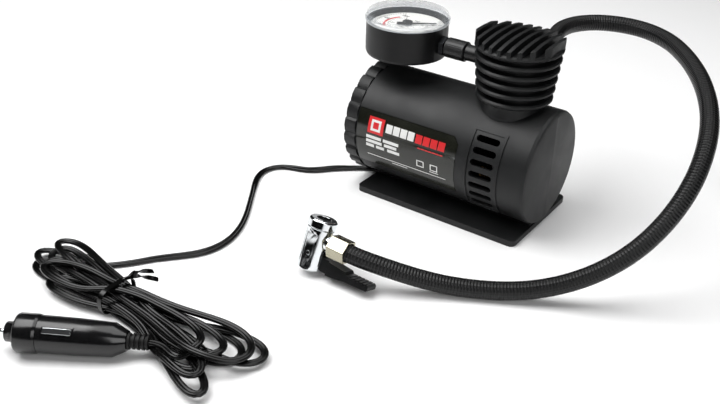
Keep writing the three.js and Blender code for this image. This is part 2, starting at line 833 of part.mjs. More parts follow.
function motorArmature() {
  const radius = motorRadius - motorWall - 3.4;
  const [x0, x1] = [motorLeft + 14, motorRight - 9];
  let core = rodX(x0, x1, 0, 0, radius, 20);
  for (let i = 0; i < 5; i++) {
    const angle = (2 * Math.PI * i) / 5;
    const slot = box(x0 - 1, x1 + 1, radius - 4.2, radius + 2, -1.3, 1.3);
    core = core.subtract(slot.rotate([THREE.MathUtils.radToDeg(angle), 0, 0]));
  }
  core = core.add(rodX(motorLeft + 6, x0 + 1, 0, 0, 5.2, 20));
  core = core.subtract(rodX(motorLeft, motorRight, 0, 0, shaftRadius + 0.2, 16));
  return core.translate([0, 0, motorAxis]);
}

function motorShaft() {
  return rodX(motorLeft - 3.6, gearRight + 1.5, 0, motorAxis, shaftRadius, 16);
}

// Gauge

function gaugeCase() {
  const [r, z0] = [gaugeRadius, gaugeBottom];
  const top = z0 + gaugeDepth;
  const inner = r - gaugeWall;
  const body = turned(
    [
      [0, z0],
      [r - 2.2, z0],
      [r - 0.6, z0 + 0.6],
      [r, z0 + 2.2],
      [r, top],
      [inner, top],
      [inner, z0 + gaugeWall],
      [0, z0 + gaugeWall],
    ],
    gaugeX,
    0,
    44,
  );
  return body.subtract(rodX(gaugeX + 10, gaugeX + 40, 0, portHeight, 4.2 + gap, 20));
}

function gaugeLens() {
  const z0 = gaugeBottom + gaugeDepth + gap;
  const r = lensRadius;
  return turned(
    [
      [0, z0 + lensHeight - lensWall],
      [r - lensWall - 1.4, z0 + lensHeight - lensWall],
      [r - lensWall - 1, z0],
      [r, z0],
      [r, z0 + 2],
      [r - 0.9, z0 + 2.7],
      [r - 1.1, z0 + lensHeight - 0.6],
      [r - 1.9, z0 + lensHeight],
      [0, z0 + lensHeight],
    ],
    gaugeX,
    0,
    44,
  );
}

const dialThickness = 0.8;
const dialDrop = 3.4;

function gaugeDial() {
  const z1 = gaugeBottom + gaugeDepth - dialDrop;
  const dial = rodZ(z1 - dialThickness, z1, gaugeX, 0, gaugeRadius - gaugeWall - gap, 32);
  return dial.subtract(rodZ(z1 - 3, z1 + 3, gaugeX, 0, 1.4, 16));
}

function gaugePointer() {
  const z0 = gaugeBottom + gaugeDepth - dialDrop + 0.8;
  const needle = plate(
    outline([
      [-pointerTail, -1.5],
      [-pointerTail + 2, -1.7],
      [2, -0.9],
      [pointerReach, -0.25],
      [pointerReach, 0.25],
      [2, 0.9],
      [-pointerTail + 2, 1.7],
      [-pointerTail, 1.5],
    ]),
    z0,
    z0 + 0.6,
  );
  const hub = rodZ(z0, z0 + 1.5, 0, 0, 3.4, 24);
  const spindle = rodZ(z0 - dialDrop - 2, z0 + 0.3, 0, 0, 0.9, 12);
  return joined([needle, hub, spindle])
    .rotate([0, 0, pointerZeroDeg])
    .translate([gaugeX, 0, 0]);
}

function bourdonTube() {
  const points = [];
  for (let i = 0; i <= 18; i++) {
    const angle = THREE.MathUtils.degToRad(35 + 14 * i);
    points.push(new THREE.Vector3(17.5 * Math.cos(angle), 17.5 * Math.sin(angle), 0));
  }
  const section = new THREE.Shape();
  section.absellipse(0, 0, 2.6, 1.2, 0, 2 * Math.PI);
  const path = new THREE.CatmullRomCurve3(points);
  const settings = { steps: 18, curveSegments: 4, bevelEnabled: false, extrudePath: path };
  return solidOf(place(new THREE.ExtrudeGeometry(section, settings), gaugeX, 0, portHeight));
}

const hexLeft = gaugeX + gaugeRadius + 0.5;
const nutLeft = hexLeft + hexLength + gap;

function gaugeSocket() {
  const hexagon = new THREE.CylinderGeometry(hexFlats / Math.sqrt(3), hexFlats / Math.sqrt(3), hexLength, 6);
  hexagon.rotateZ(-Math.PI / 2);
  let socket = solidOf(place(hexagon, hexLeft + hexLength / 2, 0, portHeight));
  socket = socket.add(rodX(gaugeX + 12, hexLeft + 1, 0, portHeight, 4.2, 20));
  socket = socket.add(rodX(hexLeft + 1, nutLeft + nutLength * 0.4, 0, portHeight, 3, 20));
  socket = socket.add(box(gaugeX + 5, gaugeX + 12.5, -3.4, 3.4, portHeight - 5, portHeight + 3));
  return socket.subtract(rodX(gaugeX + 6, nutLeft + nutLength, 0, portHeight, 1.2, 12));
}

function unionNut() {
  const [x0, x1] = [nutLeft, nutLeft + nutLength];
  const profile = closed([
    [3 + gap, x0],
    [nutRadius - 0.7, x0],
    [nutRadius, x0 + 0.7],
    [nutRadius, x1 - 0.7],
    [nutRadius - 0.7, x1],
    [3 + gap, x1],
  ]);
  let nut = turnedX(profile, 0, portHeight, 20);
  for (let i = 0; i < 10; i++) {
    const groove = box(x0 + 2, x1 - 2, nutRadius - 0.35, nutRadius + 1, -0.35, 0.35);
    nut = nut.subtract(groove.rotate([i * 36, 0, 0]).translate([0, 0, portHeight]));
  }
  return nut;
}

function gaugeStem() {
  const nutRight = nutLeft + nutLength;
  const blockFace = headX - headBlockRadius;
  let stem = rodX(nutRight + gap, blockFace - gap, 0, portHeight, portRadius, 24);
  stem = stem.add(rodX(nutLeft + nutLength * 0.4 + gap, nutRight + 1, 0, portHeight, 3, 20));
  stem = stem.add(rodX(blockFace - 1, blockFace + 5, 0, portHeight, 3, 20));
  return stem.subtract(rodX(nutLeft, headX, 0, portHeight, 1.2, 12));
}

// Hose and chuck

const hosePoints = [
  [headX, 30.1, 103],
  [31.3, 40, 103],
  [29.9, 51, 103.3],
  [27, 62.5, 103.8],
  [25.4, 75, 104.2],
  [27.6, 87.5, 104.4],
  [34.2, 98.8, 104.4],
  [44.3, 107.2, 104.2],
  [56.7, 111.7, 103.9],
  [69.9, 111.8, 103.6],
  [82, 107.6, 103.2],
  [93.4, 99.8, 102.8],
  [104.5, 88.8, 102],
  [115.3, 75.5, 100.8],
  [125.5, 60.8, 98.9],
  [134.5, 45.5, 96.2],
  [142, 30, 92.6],
  [147.8, 14.5, 87.6],
  [151.5, -0.6, 80.7],
  [152.8, -15, 71.5],
  [151.2, -28, 60.8],
  [146.8, -39.4, 49.5],
  [140, -49.2, 38.5],
  [131, -57.6, 28.4],
  [120, -65.5, 19.6],
  [107.5, -73.5, 12.7],
  [94, -82, 8.2],
  [80, -90.3, 6.1],
  [66, -98.2, 5.8],
  [52.5, -105.8, 7],
  [39.5, -113.2, 9.8],
  [27, -120, 13.4],
  [16.5, -124.8, 16.2],
  [7.5, -127.6, 17.9],
  [-1, -128.42, 18.7],
  [-5.5, -128.5, 19.06],
  [-10, -128.55, 19.4],
];
// The hose leaves at the head's port and comes down to the chuck, whatever the port's height.
const portLift = portHeight - 103;
const hoseRoute = hosePoints.map(([x, y, z], i) => {
  const share = Math.min(1, Math.max(0, 1 - (i - 2) / 22));
  return [x, y, z + portLift * share];
});

// A plain tube along hand-chosen points, cut square at both ends.
function tube(points, radius, sides, steps) {
  const section = new THREE.Shape();
  section.moveTo(radius, 0);
  for (let i = 1; i < sides; i++) {
    const angle = (2 * Math.PI * i) / sides;
    section.lineTo(radius * Math.cos(angle), radius * Math.sin(angle));
  }
  const path = new THREE.CatmullRomCurve3(points.map((point) => new THREE.Vector3(...point)));
  const settings = { steps, bevelEnabled: false, extrudePath: path };
  return solidOf(new THREE.ExtrudeGeometry(section, settings));
}

function hoseFitting() {
  const face = headBlockRadius;
  let fitting = rodY(face + gap, hosePoints[0][1] - 0.3, headX, portHeight, portRadius, 24);
  fitting = fitting.add(rodY(face - 4, face + 1, headX, portHeight, 3, 20));
  return fitting.subtract(rodY(face - 5, hosePoints[0][1] + 1, headX, portHeight, 1.6, 12));
}

function hoseCollar() {
  const start = hosePoints[0][1];
  const barrel = rodY(start - 0.6, start + 11, headX, portHeight, hoseRadius + 1.9, 24);
  return barrel.subtract(rodY(start - 2, start + 12, headX, portHeight, hoseRadius + gap, 24));
}

// The chuck's own frame: x along the hose out of its side, y across it, z up its mouth.
const chuckCentre = new THREE.Vector3(-23.07, -128.7, 20.45);
const chuckTilt = THREE.MathUtils.degToRad(21.8);
const chuckYaw = THREE.MathUtils.degToRad(2.4);
const chuckDip = THREE.MathUtils.degToRad(4.5);
const chuckFrame = new THREE.Matrix4()
  .makeTranslation(chuckCentre)
  .multiply(new THREE.Matrix4().makeRotationZ(chuckYaw))
  .multiply(new THREE.Matrix4().makeRotationX(-chuckTilt))
  .multiply(new THREE.Matrix4().makeRotationY(chuckDip));
const cheekInner = 2.8;
const capHeight = 5.2;
const ferruleLeft = 10.3;
const ferruleRight = 22.5;
const ferruleFlats = 13.2;
const hoseStop = 12.6;

function chuckBody() {
  const capBottom = chuckMouth - capHeight;
  let body = turned(
    [
      [0, -chuckFoot],
      [chuckRadius - 1.2, -chuckFoot],
      [chuckRadius - 0.2, -chuckFoot + 1],
      [chuckRadius, -chuckFoot + 3],
      [chuckRadius, capBottom - 0.8],
      [chuckRadius - 0.5, capBottom - gap],
      [0, capBottom - gap],
    ],
    0,
    0,
    28,
  );
  body = body.add(rodX(0, ferruleLeft - gap, 0, 0, 4.6, 24));
  body = body.subtract(box(-20, 20, -20, -chuckRadius + 1, -chuckFoot - 1, capBottom - 3.5));
  body = body.subtract(box(-20, 6.5, chuckRadius - 1, 20, -chuckFoot - 1, capBottom - 3.5));
  body = body.subtract(rodZ(-1, chuckMouth + 1, 0, 0, chuckBore + 1.6, 24));
  body = body.subtract(rodX(2, 20, 0, 0, 1.5, 12));
  body = body.subtract(box(-5.4, 20, -cheekInner, cheekInner, -chuckFoot - 1, -5));
  body = body.subtract(box(-20, 0, -cheekInner, cheekInner, -chuckFoot - 1, -leverPinDrop - 2.4));
  return body.subtract(rodY(-20, 20, 0, -leverPinDrop, wristPinRadius + gap, 12));
}

function chuckCap() {
  const z0 = chuckMouth - capHeight;
  const rim = chuckRadius + 0.45;
  const profile = closed([
    [chuckBore + 1.6, z0],
    [rim, z0],
    [rim, chuckMouth - 1],
    [rim - 0.9, chuckMouth],
    [chuckBore, chuckMouth],
    [chuckBore, chuckMouth - 1.3],
    [chuckBore + 1.6, chuckMouth - 1.3],
  ]);
  return turned(profile, 0, 0, 28);
}

function chuckSeal() {
  const profile = closed([
    [2.9, -0.7],
    [chuckBore + 1.3, -0.7],
    [chuckBore + 1.3, chuckMouth - 1.6],
    [chuckBore - 0.1, chuckMouth - 1.6],
    [chuckBore - 0.1, 3],
    [2.9, 2.2],
  ]);
  return turned(profile, 0, 0, 20);
}

const leverWide = 13.7;

function chuckLever() {
  const pin = -leverPinDrop;
  const side = (points, half) => {
    const settings = { depth: 2 * half, bevelEnabled: false };
    const geometry = new THREE.ExtrudeGeometry(outline(points), settings);
    return solidOf(geometry.translate(0, 0, -half).rotateX(Math.PI / 2));
  };
  const inner = cheekInner - 0.35;
  let lever = rodY(-inner, inner, 0, pin, 3.1, 24);
  lever = lever.add(
    side(
      [
        [0, pin + 1.9],
        [8, pin - 0.3],
        [leverWide + 2, pin - 0.6],
        [leverWide + 2, -17.2],
        [9, -17],
        [3.5, -14.5],
        [-1, pin - 3],
      ],
      inner,
    ),
  );
  const arm = side(
    [
      [leverWide, -8.7],
      [26, -9.8],
      [27.4, -11.2],
      [leverReach - 1, -11],
      [leverReach, -12],
      [leverReach, -14.3],
      [leverReach - 1, -15],
      [27, -15.6],
      [20, -16.8],
      [leverWide, -17.4],
    ],
    4.5,
  );
  const swing = rodY(-6, 6, 0, pin, leverWide, 32);
  const paddle = side(
    [
      [27.6, -11.4],
      [leverReach - 1, -11.2],
      [leverReach, -12.2],
      [leverReach, -14.2],
      [leverReach - 1, -14.8],
      [27.6, -15.2],
    ],
    5,
  );
  lever = lever.add(arm.subtract(swing)).add(paddle);
  for (let i = 0; i < 5; i++) {
    const x = 30 + i * 2.6;
    lever = lever.subtract(box(x, x + 0.9, -6, 6, -11.9, -10));
  }
  return lever.subtract(rodY(-8, 8, 0, pin, wristPinRadius + gap, 12));
}

function leverPin() {
  const reach = chuckRadius - 1;
  return rodY(-reach + 0.2, reach - 0.2, 0, -leverPinDrop, wristPinRadius, 16);
}

function hoseFerrule() {
  const corner = ferruleFlats / Math.sqrt(3);
  const hexagon = new THREE.CylinderGeometry(corner, corner, ferruleRight - ferruleLeft, 6);
  hexagon.rotateY(Math.PI / 6).rotateZ(-Math.PI / 2);
  let ferrule = solidOf(place(hexagon, (ferruleLeft + ferruleRight) / 2, 0, 0));
  ferrule = ferrule.subtract(rodX(ferruleLeft - 1, ferruleRight + 1, 0, 0, 1.5, 12));
  return ferrule.subtract(rodX(hoseStop, ferruleRight + 1, 0, 0, hoseRadius + gap, 24));
}

// Cord, hank and tie

const cordPoints = [
  [0.85 - baseLength / 2, cordLane, baseThickness / 2],
  [-67, -8.2, 1.6],
  [-75, -12.2, 1.5],
  [-83, -19, 1.5],
  [-90.5, -27.2, 1.5],
  [-97.5, -35, 1.5],
  [-105, -40, 1.5],
  [-112.8, -42.6, 1.5],
  [-119.8, -45.6, 1.5],
  [-124.8, -51.2, 1.5],
  [-126.5, -59.2, 1.5],
  [-124.2, -67.8, 1.5],
  [-119.4, -76.5, 1.5],
  [-113.3, -85.5, 1.5],
  [-106.5, -95.5, 1.5],
  [-99.8, -105.5, 1.5],
  [-93.7, -115.2, 1.5],
  [-88.2, -126, 1.5],
  [-84.6, -136.5, 1.5],
  [-83.4, -146.5, 1.5],
  [-84.6, -155.5, 1.5],
  [-88.2, -163.5, 1.5],
  [-93.6, -170.5, 1.5],
  [-99.6, -177.5, 1.5],
  [-105.5, -184.5, 1.5],
  [-110.4, -191.5, 1.5],
  [-113.6, -197.5, 1.5],
];

// The folded bundle's outline on the floor, wide lobes at both ends and a waist at the tie.
const hankPoints = [
  [-163, -232],
  [-160, -216],
  [-150, -207],
  [-134, -212],
  [-112, -217],
  [-96, -219.5],
  [-82, -219.5],
  [-66, -212],
  [-46, -210],
  [-26, -211],
  [-8, -211],
  [6, -216],
  [12, -227],
  [8, -239],
  [2, -248],
  [6, -257],
  [0, -262],
  [-14, -258],
  [-25, -248],
  [-32, -239.8],
  [-42, -237],
  [-60, -237.5],
  [-80, -238.5],
  [-94, -240],
  [-110, -249],
  [-128, -248],
  [-150, -243],
];

function cordHank() {
  const curve = new THREE.CatmullRomCurve3(hankPoints.map(([x, y]) => new THREE.Vector3(x, y, 0)), true);
  const shape = new THREE.Shape(curve.getPoints(44).slice(0, -1).map((p) => new THREE.Vector2(p.x, p.y)));
  const edge = 3;
  const settings = { depth: hankHeight - 2 * edge, bevelSize: edge, bevelThickness: edge, bevelOffset: -edge, bevelSegments: 2 };
  return solidOf(place(new THREE.ExtrudeGeometry(shape, settings), 0, 0, 1.6 + edge));
}

const tieX = -89;
const tieY = -229;

function twistTie() {
  const [halfWidth, low, high] = [11.2, 0.15, 1.6 + hankHeight + 1.4];
  const outer = box(tieX - 2, tieX + 2, tieY - halfWidth - 1, tieY + halfWidth + 1, low, high);
  const inner = box(tieX - 3, tieX + 3, tieY - halfWidth, tieY + halfWidth, low + 1, high - 1);
  const tail = box(tieX - 1.6, tieX + 1.6, tieY + halfWidth, tieY + halfWidth + 15, low + 6, low + 7);
  return outer.subtract(inner).add(tail);
}

// The plug's own frame: x from its cap ring back to the cord, z up, lying on the floor.
const plugCentre = new THREE.Vector3(-97.4, -281.5, plugRadius + 0.15);
const plugYaw = Math.atan2(0.537, 0.844);
const plugTilt = Math.atan2(plugRadius - plugRear, 48);
const plugFrame = new THREE.Matrix4()
  .makeTranslation(plugCentre)
  .multiply(new THREE.Matrix4().makeRotationZ(plugYaw))
  .multiply(new THREE.Matrix4().makeRotationY(plugTilt));
const capEnd = 9.5;
const noseRadius = 5.4;
const noseFront = -8.2;
const tipReach = 4.5;
const tipRadius = 1.45;
const contactX = [13, 28];
const contactWidth = 3.2;
const contactRoll = 40;

function plugCap() {
  return turnedX(
    closed([
      [tipRadius + gap, noseFront],
      [noseRadius - 0.4, noseFront],
      [noseRadius, noseFront + 0.5],
      [noseRadius, -3.5],
      [8.4, -2.8],
      [plugRadius - 0.5, -2.2],
      [plugRadius, -1.2],
      [plugRadius, capEnd - 1.4],
      [plugRadius - 0.5, capEnd],
      [plugBore, capEnd],
      [plugBore, 0],
      [4, -2.5],
      [4, noseFront + 1],
      [tipRadius + gap, noseFront + 1],
    ]),
    0,
    0,
    22,
  );
}

function plugBody() {
  const partition = noseFront + 1 + gap + 1.2 + gap + fuseLength + gap + 10 + 3;
  let barrel = turnedX(
    closed([
      [plugBore, capEnd + gap],
      [plugRadius - 0.5, capEnd + gap],
      [plugRadius - 0.7, 30],
      [plugRadius - 1.1, 40],
      [plugRear, 48],
      [5.4, plugLength],
      [3, plugLength],
      [3, partition],
      [plugBore, partition],
    ]),
    0,
    0,
    24,
  );
  for (const roll of [contactRoll, contactRoll + 180]) {
    const slot = box(contactX[0] - gap, contactX[1] + gap, -contactWidth / 2 - gap, contactWidth / 2 + gap, 4, 20);
    barrel = barrel.subtract(slot.rotate([roll, 0, 0]));
  }
  return barrel;
}

function plugContact(roll) {
  const [x0, x1] = contactX;
  const shape = outline([
    [x0, 7.9],
    [x1, 7.9],
    [x1, 9.6],
    [x1 - 3, 10.3],
    [x0 + 3, 10.3],
    [x0, 9.6],
  ]);
  const geometry = new THREE.ExtrudeGeometry(shape, { depth: contactWidth, bevelEnabled: false });
  geometry.translate(0, 0, -contactWidth / 2).rotateX(Math.PI / 2);
  return solidOf(geometry).rotate([roll, 0, 0]);
}

const tipFlange = noseFront + 1 + gap;

function plugTip() {
  const profile = [
    [0, noseFront - tipReach],
    [0.8, noseFront - tipReach],
    [tipRadius, noseFront - tipReach + 1],
    [tipRadius, tipFlange],
    [3.6, tipFlange],
    [3.6, tipFlange + 1.2],
    [0, tipFlange + 1.2],
  ];
  return turnedX(profile, 0, 0, 20);
}

function plugFuse() {
  const x0 = tipFlange + 1.2 + gap;
  return rodX(x0, x0 + fuseLength, 0, 0, fuseRadius, 20);
}

function tipSpring() {
  const x0 = tipFlange + 1.2 + gap + fuseLength + gap;
  const wire = 0.4;
  const geometry = coil(2.2, wire, 4, x0 + wire, x0 + 9.5).rotateY(Math.PI / 2);
  return solidOf(geometry);
}

function plugBoot() {
  const [x0, x1] = [plugLength + gap, plugLength + 11];
  const profile = [[0, plugLength - 5], [2.7, plugLength - 5], [2.7, x0], [4.6, x0]];
  for (let i = 0; i < 4; i++) {
    const x = x0 + 1.2 + i * 2.5;
    profile.push([4.4, x], [3.3, x + 0.1], [3.3, x + 1.1], [4.2, x + 1.2]);
  }
  profile.push([4, x1], [0, x1]);
  const boot = turnedX(profile, 0, 0, 12);
  return boot.subtract(rodX(x1 - 6, x1 + 1, 0, 0, cordRadius + 0.5, 12));
}

const plugCordPoints = [
  [-46.2, -248.9, 8.7],
  [-41.7, -246.1, 8.5],
  [-38.4, -244, 7.8],
  [-36.6, -242.9, 7.2],
];

add("front_shell", frontShell(), ...satinBlack);
add("rear_shell", rearShell(), ...satinBlack);
add("end_cap", endCap(), ...satinBlack);
add("base_plate", basePlate(), ...satinBlack);
const labelHalf = [labelX[0], labelX[1], labelAngles[0], labelAngles[1]];
const labelInner = bodyRadius - labelRecess + 0.22;
add("label", labelSolid(...labelHalf, labelInner, labelInner + labelThickness, labelCorner), 0x3a3b35, 0.25, 0);
shellScrewX.forEach((x, i) => {
  add(`shell_screw_${i + 1}`, screwAlong("y", 18, -6, 2, x, shellScrewHeight), ...steel);
});
baseScrewPlaces.forEach(([x, y], i) => {
  add(`base_screw_${i + 1}`, screwAlong("z", 0.2, baseThickness + 6.5, 1.8, x, y), ...steel);
});
add("cord_grommet", cordGrommet(), ...rubberBlack);
add("rocker_switch", rockerSwitch(), ...glossBlack, switchFrame(0));

add("head_cover", headCover(), ...satinBlack);
add("cylinder", cylinderSleeve(), ...castAlloy);
add("cylinder_head", cylinderHead(), ...castAlloy);
add("outlet_valve", outletValve(), ...steel);
add("valve_spring", valveSpring(), ...steel);
add("piston", piston(), ...castAlloy);
add("piston_ring", pistonRing(), ...rubberBlack);
add("wrist_pin", rodX(headX - 7.8, headX + 7.8, 0, wristHeight, wristPinRadius, 16), ...steel);
add("connecting_rod", connectingRod(), ...castAlloy);
add("crank_pin", crankPin(), ...steel);

add("drive_gear", driveGear(), 0xe8e6de, 0.5, 0);
add("gear_axle", gearAxle(), ...steel);
add("gearbox_frame", gearboxFrame(), ...castAlloy);
add("motor_can", motorCan(), ...steel);
add("motor_end_bell", motorEndBell(), 0x303234, 0.6, 0);
add("motor_armature", motorArmature(), 0x7a4a2c, 0.45, 0.8);
add("motor_shaft", motorShaft(), ...steel);
add("pinion", pinion(), ...brass);

add("gauge_case", gaugeCase(), ...glossBlack);
add("gauge_lens", gaugeLens(), 0xeef2f4, 0.05, 0);
add("gauge_dial", gaugeDial(), 0xf2f2ee, 0.5, 0);
add("gauge_pointer", gaugePointer(), 0x1a1a1a, 0.5, 0);
add("bourdon_tube", bourdonTube(), ...brass);
add("gauge_socket", gaugeSocket(), ...brass);
add("union_nut", unionNut(), ...glossBlack);
add("gauge_stem", gaugeStem(), ...glossBlack);

add("hose_fitting", hoseFitting(), ...brass);
add("hose_collar", hoseCollar(), ...steel);
add("hose", tube(hoseRoute, hoseRadius, 10, 44), ...rubberBlack);
add("hose_ferrule", hoseFerrule(), ...brass, chuckFrame);
add("chuck_body", chuckBody(), ...chrome, chuckFrame);
add("chuck_cap", chuckCap(), ...chrome, chuckFrame);
add("chuck_seal", chuckSeal(), ...rubberBlack, chuckFrame);
add("chuck_lever", chuckLever(), ...satinBlack, chuckFrame);
add("lever_pin", leverPin(), ...chrome, chuckFrame);

add("cord", tube(cordPoints, cordRadius, 8, 44), ...glossBlack);
add("cord_hank", cordHank(), ...glossBlack);
add("plug_cord", tube(plugCordPoints, cordRadius, 8, 6), ...glossBlack);
add("twist_tie", twistTie(), 0x202020, 0.5, 0);
add("plug_cap", plugCap(), ...satinBlack, plugFrame);
add("plug_body", plugBody(), ...satinBlack, plugFrame);
add("plug_tip", plugTip(), ...chrome, plugFrame);
add("plug_fuse", plugFuse(), 0xd8dde0, 0.1, 0, plugFrame);
add("tip_spring", tipSpring(), ...steel, plugFrame);
add("plug_contact_left", plugContact(contactRoll), ...chrome, plugFrame);
add("plug_contact_right", plugContact(contactRoll + 180), ...chrome, plugFrame);
add("plug_boot", plugBoot(), ...rubberBlack, plugFrame);

export default root;
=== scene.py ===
import json
import math
import bmesh
import bpy
from mathutils import Matrix, Vector, kdtree

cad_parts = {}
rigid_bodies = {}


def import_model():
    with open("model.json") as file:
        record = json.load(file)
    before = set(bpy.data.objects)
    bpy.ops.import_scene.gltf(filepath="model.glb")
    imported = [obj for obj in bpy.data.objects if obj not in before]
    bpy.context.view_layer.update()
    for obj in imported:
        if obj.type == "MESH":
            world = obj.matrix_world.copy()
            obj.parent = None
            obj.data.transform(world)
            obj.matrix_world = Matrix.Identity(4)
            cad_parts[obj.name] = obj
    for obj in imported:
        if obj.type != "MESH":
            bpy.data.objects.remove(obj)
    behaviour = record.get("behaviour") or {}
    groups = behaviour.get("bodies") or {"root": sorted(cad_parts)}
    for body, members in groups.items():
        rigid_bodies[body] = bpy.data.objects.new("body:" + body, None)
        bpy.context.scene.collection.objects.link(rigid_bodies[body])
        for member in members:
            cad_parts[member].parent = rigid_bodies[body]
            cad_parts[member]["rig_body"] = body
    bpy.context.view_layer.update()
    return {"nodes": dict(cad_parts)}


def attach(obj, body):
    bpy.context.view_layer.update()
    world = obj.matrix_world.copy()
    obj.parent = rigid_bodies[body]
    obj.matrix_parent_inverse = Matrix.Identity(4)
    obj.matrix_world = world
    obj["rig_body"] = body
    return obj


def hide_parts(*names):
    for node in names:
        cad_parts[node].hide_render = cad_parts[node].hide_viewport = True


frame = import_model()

mm = 0.001
scene = bpy.context.scene
cadNodes = frame["nodes"]


def linear(hexColour):
    channels = [int(hexColour[i:i + 2], 16) / 255 for i in (0, 2, 4)]
    bright = [c / 12.92 if c <= 0.04045 else ((c + 0.055) / 1.055) ** 2.4 for c in channels]
    return (*bright, 1.0)


def addNode(tree, kind, inputs=None, **settings):
    node = tree.nodes.new(kind)
    for name, value in settings.items():
        setattr(node, name, value)
    for key, value in (inputs or {}).items():
        if isinstance(value, bpy.types.NodeSocket):
            tree.links.new(value, node.inputs[key])
        else:
            node.inputs[key].default_value = value
    return node


# camera, a three-quarter view from the front right and above

cameraPlan = {
    "place": (257.32, -486.28, 310.74),
    "yaw": -0.612,
    "pitch": 0.528,
    "roll": 0.027,
    "lens": 45.62,
}


def makeCamera(plan):
    yaw, pitch, roll = plan["yaw"], plan["pitch"], plan["roll"]
    ahead = Vector((math.sin(yaw) * math.cos(pitch), math.cos(yaw) * math.cos(pitch), -math.sin(pitch)))
    level = Vector((math.cos(yaw), -math.sin(yaw), 0))
    above = level.cross(ahead)
    right = math.cos(roll) * level + math.sin(roll) * above
    up = -math.sin(roll) * level + math.cos(roll) * above
    data = bpy.data.cameras.new("camera")
    data.lens = plan["lens"]
    data.sensor_width = 36
    data.clip_start = 0.01
    camera = bpy.data.objects.new("camera", data)
    scene.collection.objects.link(camera)
    turn = Matrix((right, up, -ahead)).transposed().to_4x4()
    camera.matrix_world = Matrix.Translation(Vector(plan["place"]) * mm) @ turn
    scene.camera = camera


makeCamera(cameraPlan)
print("camera placed")


# materials

def startMaterial(name, colour, roughness, metallic=0.0, ior=None):
    material = bpy.data.materials.new(name)
    material.use_nodes = True
    tree = material.node_tree
    shader = tree.nodes["Principled BSDF"]
    shader.inputs["Base Color"].default_value = linear(colour)
    shader.inputs["Roughness"].default_value = roughness
    shader.inputs["Metallic"].default_value = metallic
    if ior:
        shader.inputs["IOR"].default_value = ior
    return material, tree, shader


def objectPlace(tree):
    return addNode(tree, "ShaderNodeTexCoord").outputs["Object"]


def grain(tree, place, grainMm, detail=2.0):
    noise = addNode(tree, "ShaderNodeTexNoise", {
        "Vector": place, "Scale": 1 / (grainMm * mm), "Detail": detail})
    return noise.outputs[0]


def spread(tree, value, low, high):
    # noise mostly stays between 0.3 and 0.7
    ranged = addNode(tree, "ShaderNodeMapRange", {
        "Value": value, "From Min": 0.3, "From Max": 0.7, "To Min": low, "To Max": high})
    return ranged.outputs[0]


def blendColours(tree, factor, first, second):
    return addNode(tree, "ShaderNodeMix", {0: factor, 6: first, 7: second}, data_type="RGBA").outputs[2]


def bumpSurface(tree, shader, height, depthMm, strength):
    bump = addNode(tree, "ShaderNodeBump", {"Height": height, "Strength": strength, "Distance": depthMm * mm})
    tree.links.new(bump.outputs[0], shader.inputs["Normal"])


def mouldedPlastic(name, colour, paler, roughness, grainMm, depthMm, ior=1.54, shine=0.5):
    # moulded from a textured tool: a fine even grain, with faint clouds in its gloss and tone
    material, tree, shader = startMaterial(name, colour, roughness, ior=ior)
    shader.inputs["Specular IOR Level"].default_value = shine
    place = objectPlace(tree)
    fine = grain(tree, place, grainMm)
    cloud = grain(tree, place, 22, 3)
    tree.links.new(spread(tree, cloud, roughness - 0.05, roughness + 0.07), shader.inputs["Roughness"])
    blend = blendColours(tree, spread(tree, cloud, 0, 1), linear(colour), linear(paler))
    tree.links.new(blend, shader.inputs["Base Color"])
    bumpSurface(tree, shader, fine, depthMm, 0.5)
    return material


def platedMetal(name, colour, roughness, smearMm, lay=None):
    # polished or turned metal: the gloss varies in faint smears, or in fine turning lines
    material, tree, shader = startMaterial(name, colour, roughness, metallic=1.0)
    place = objectPlace(tree)
    if lay:
        place = addNode(tree, "ShaderNodeMapping", {"Vector": place, "Scale": lay}).outputs[0]
    smear = grain(tree, place, smearMm, 4)
    tree.links.new(spread(tree, smear, roughness * 0.7, roughness * 1.5), shader.inputs["Roughness"])
    bumpSurface(tree, shader, smear, 0.01, 0.25)
    return material


def braidedCover(name, colour, paler, ringMm, strands):
    # a woven textile cover over rubber: fine rings crossed by a slanting weave, satin all over, with a
    # painted sheen on the crowns and painted shade in the hollows
    material, tree, shader = startMaterial(name, colour, 0.36, ior=1.5)
    shader.inputs["Specular IOR Level"].default_value = 0.35
    uv = addNode(tree, "ShaderNodeUVMap", uv_map="along").outputs[0]
    parts = addNode(tree, "ShaderNodeSeparateXYZ", {0: uv})
    around, along = parts.outputs[0], parts.outputs[1]
    ringPhase = addNode(
        tree, "ShaderNodeMath", {0: along, 1: 2 * math.pi / ringMm}, operation="MULTIPLY").outputs[0]
    ring = addNode(tree, "ShaderNodeMath", {0: ringPhase}, operation="SINE").outputs[0]
    turnPhase = addNode(
        tree, "ShaderNodeMath", {0: around, 1: 2 * math.pi * strands}, operation="MULTIPLY").outputs[0]
    slant = addNode(tree, "ShaderNodeMath", {0: turnPhase, 1: ringPhase}, operation="ADD").outputs[0]
    counter = addNode(tree, "ShaderNodeMath", {0: turnPhase, 1: ringPhase}, operation="SUBTRACT").outputs[0]
    slantWave = addNode(tree, "ShaderNodeMath", {0: slant}, operation="SINE").outputs[0]
    counterWave = addNode(tree, "ShaderNodeMath", {0: counter}, operation="SINE").outputs[0]
    weave = addNode(
        tree, "ShaderNodeMath", {0: slantWave, 1: counterWave}, operation="MULTIPLY").outputs[0]
    # the weave stands a little under half as high as the rings
    height = addNode(
        tree, "ShaderNodeMath", {0: weave, 1: 0.45, 2: ring}, operation="MULTIPLY_ADD").outputs[0]
    # painted light: the crowns are painted paler as a sheen, the hollows darker as shade
    paintedCrownSheen = addNode(tree, "ShaderNodeMapRange", {"Value": height, "From Min": -1, "From Max": 1.2}).outputs[0]
    tree.links.new(blendColours(tree, paintedCrownSheen, linear(colour), linear(paler)), shader.inputs["Base Color"])
    bumpSurface(tree, shader, height, 0.25, 0.8)
    return material


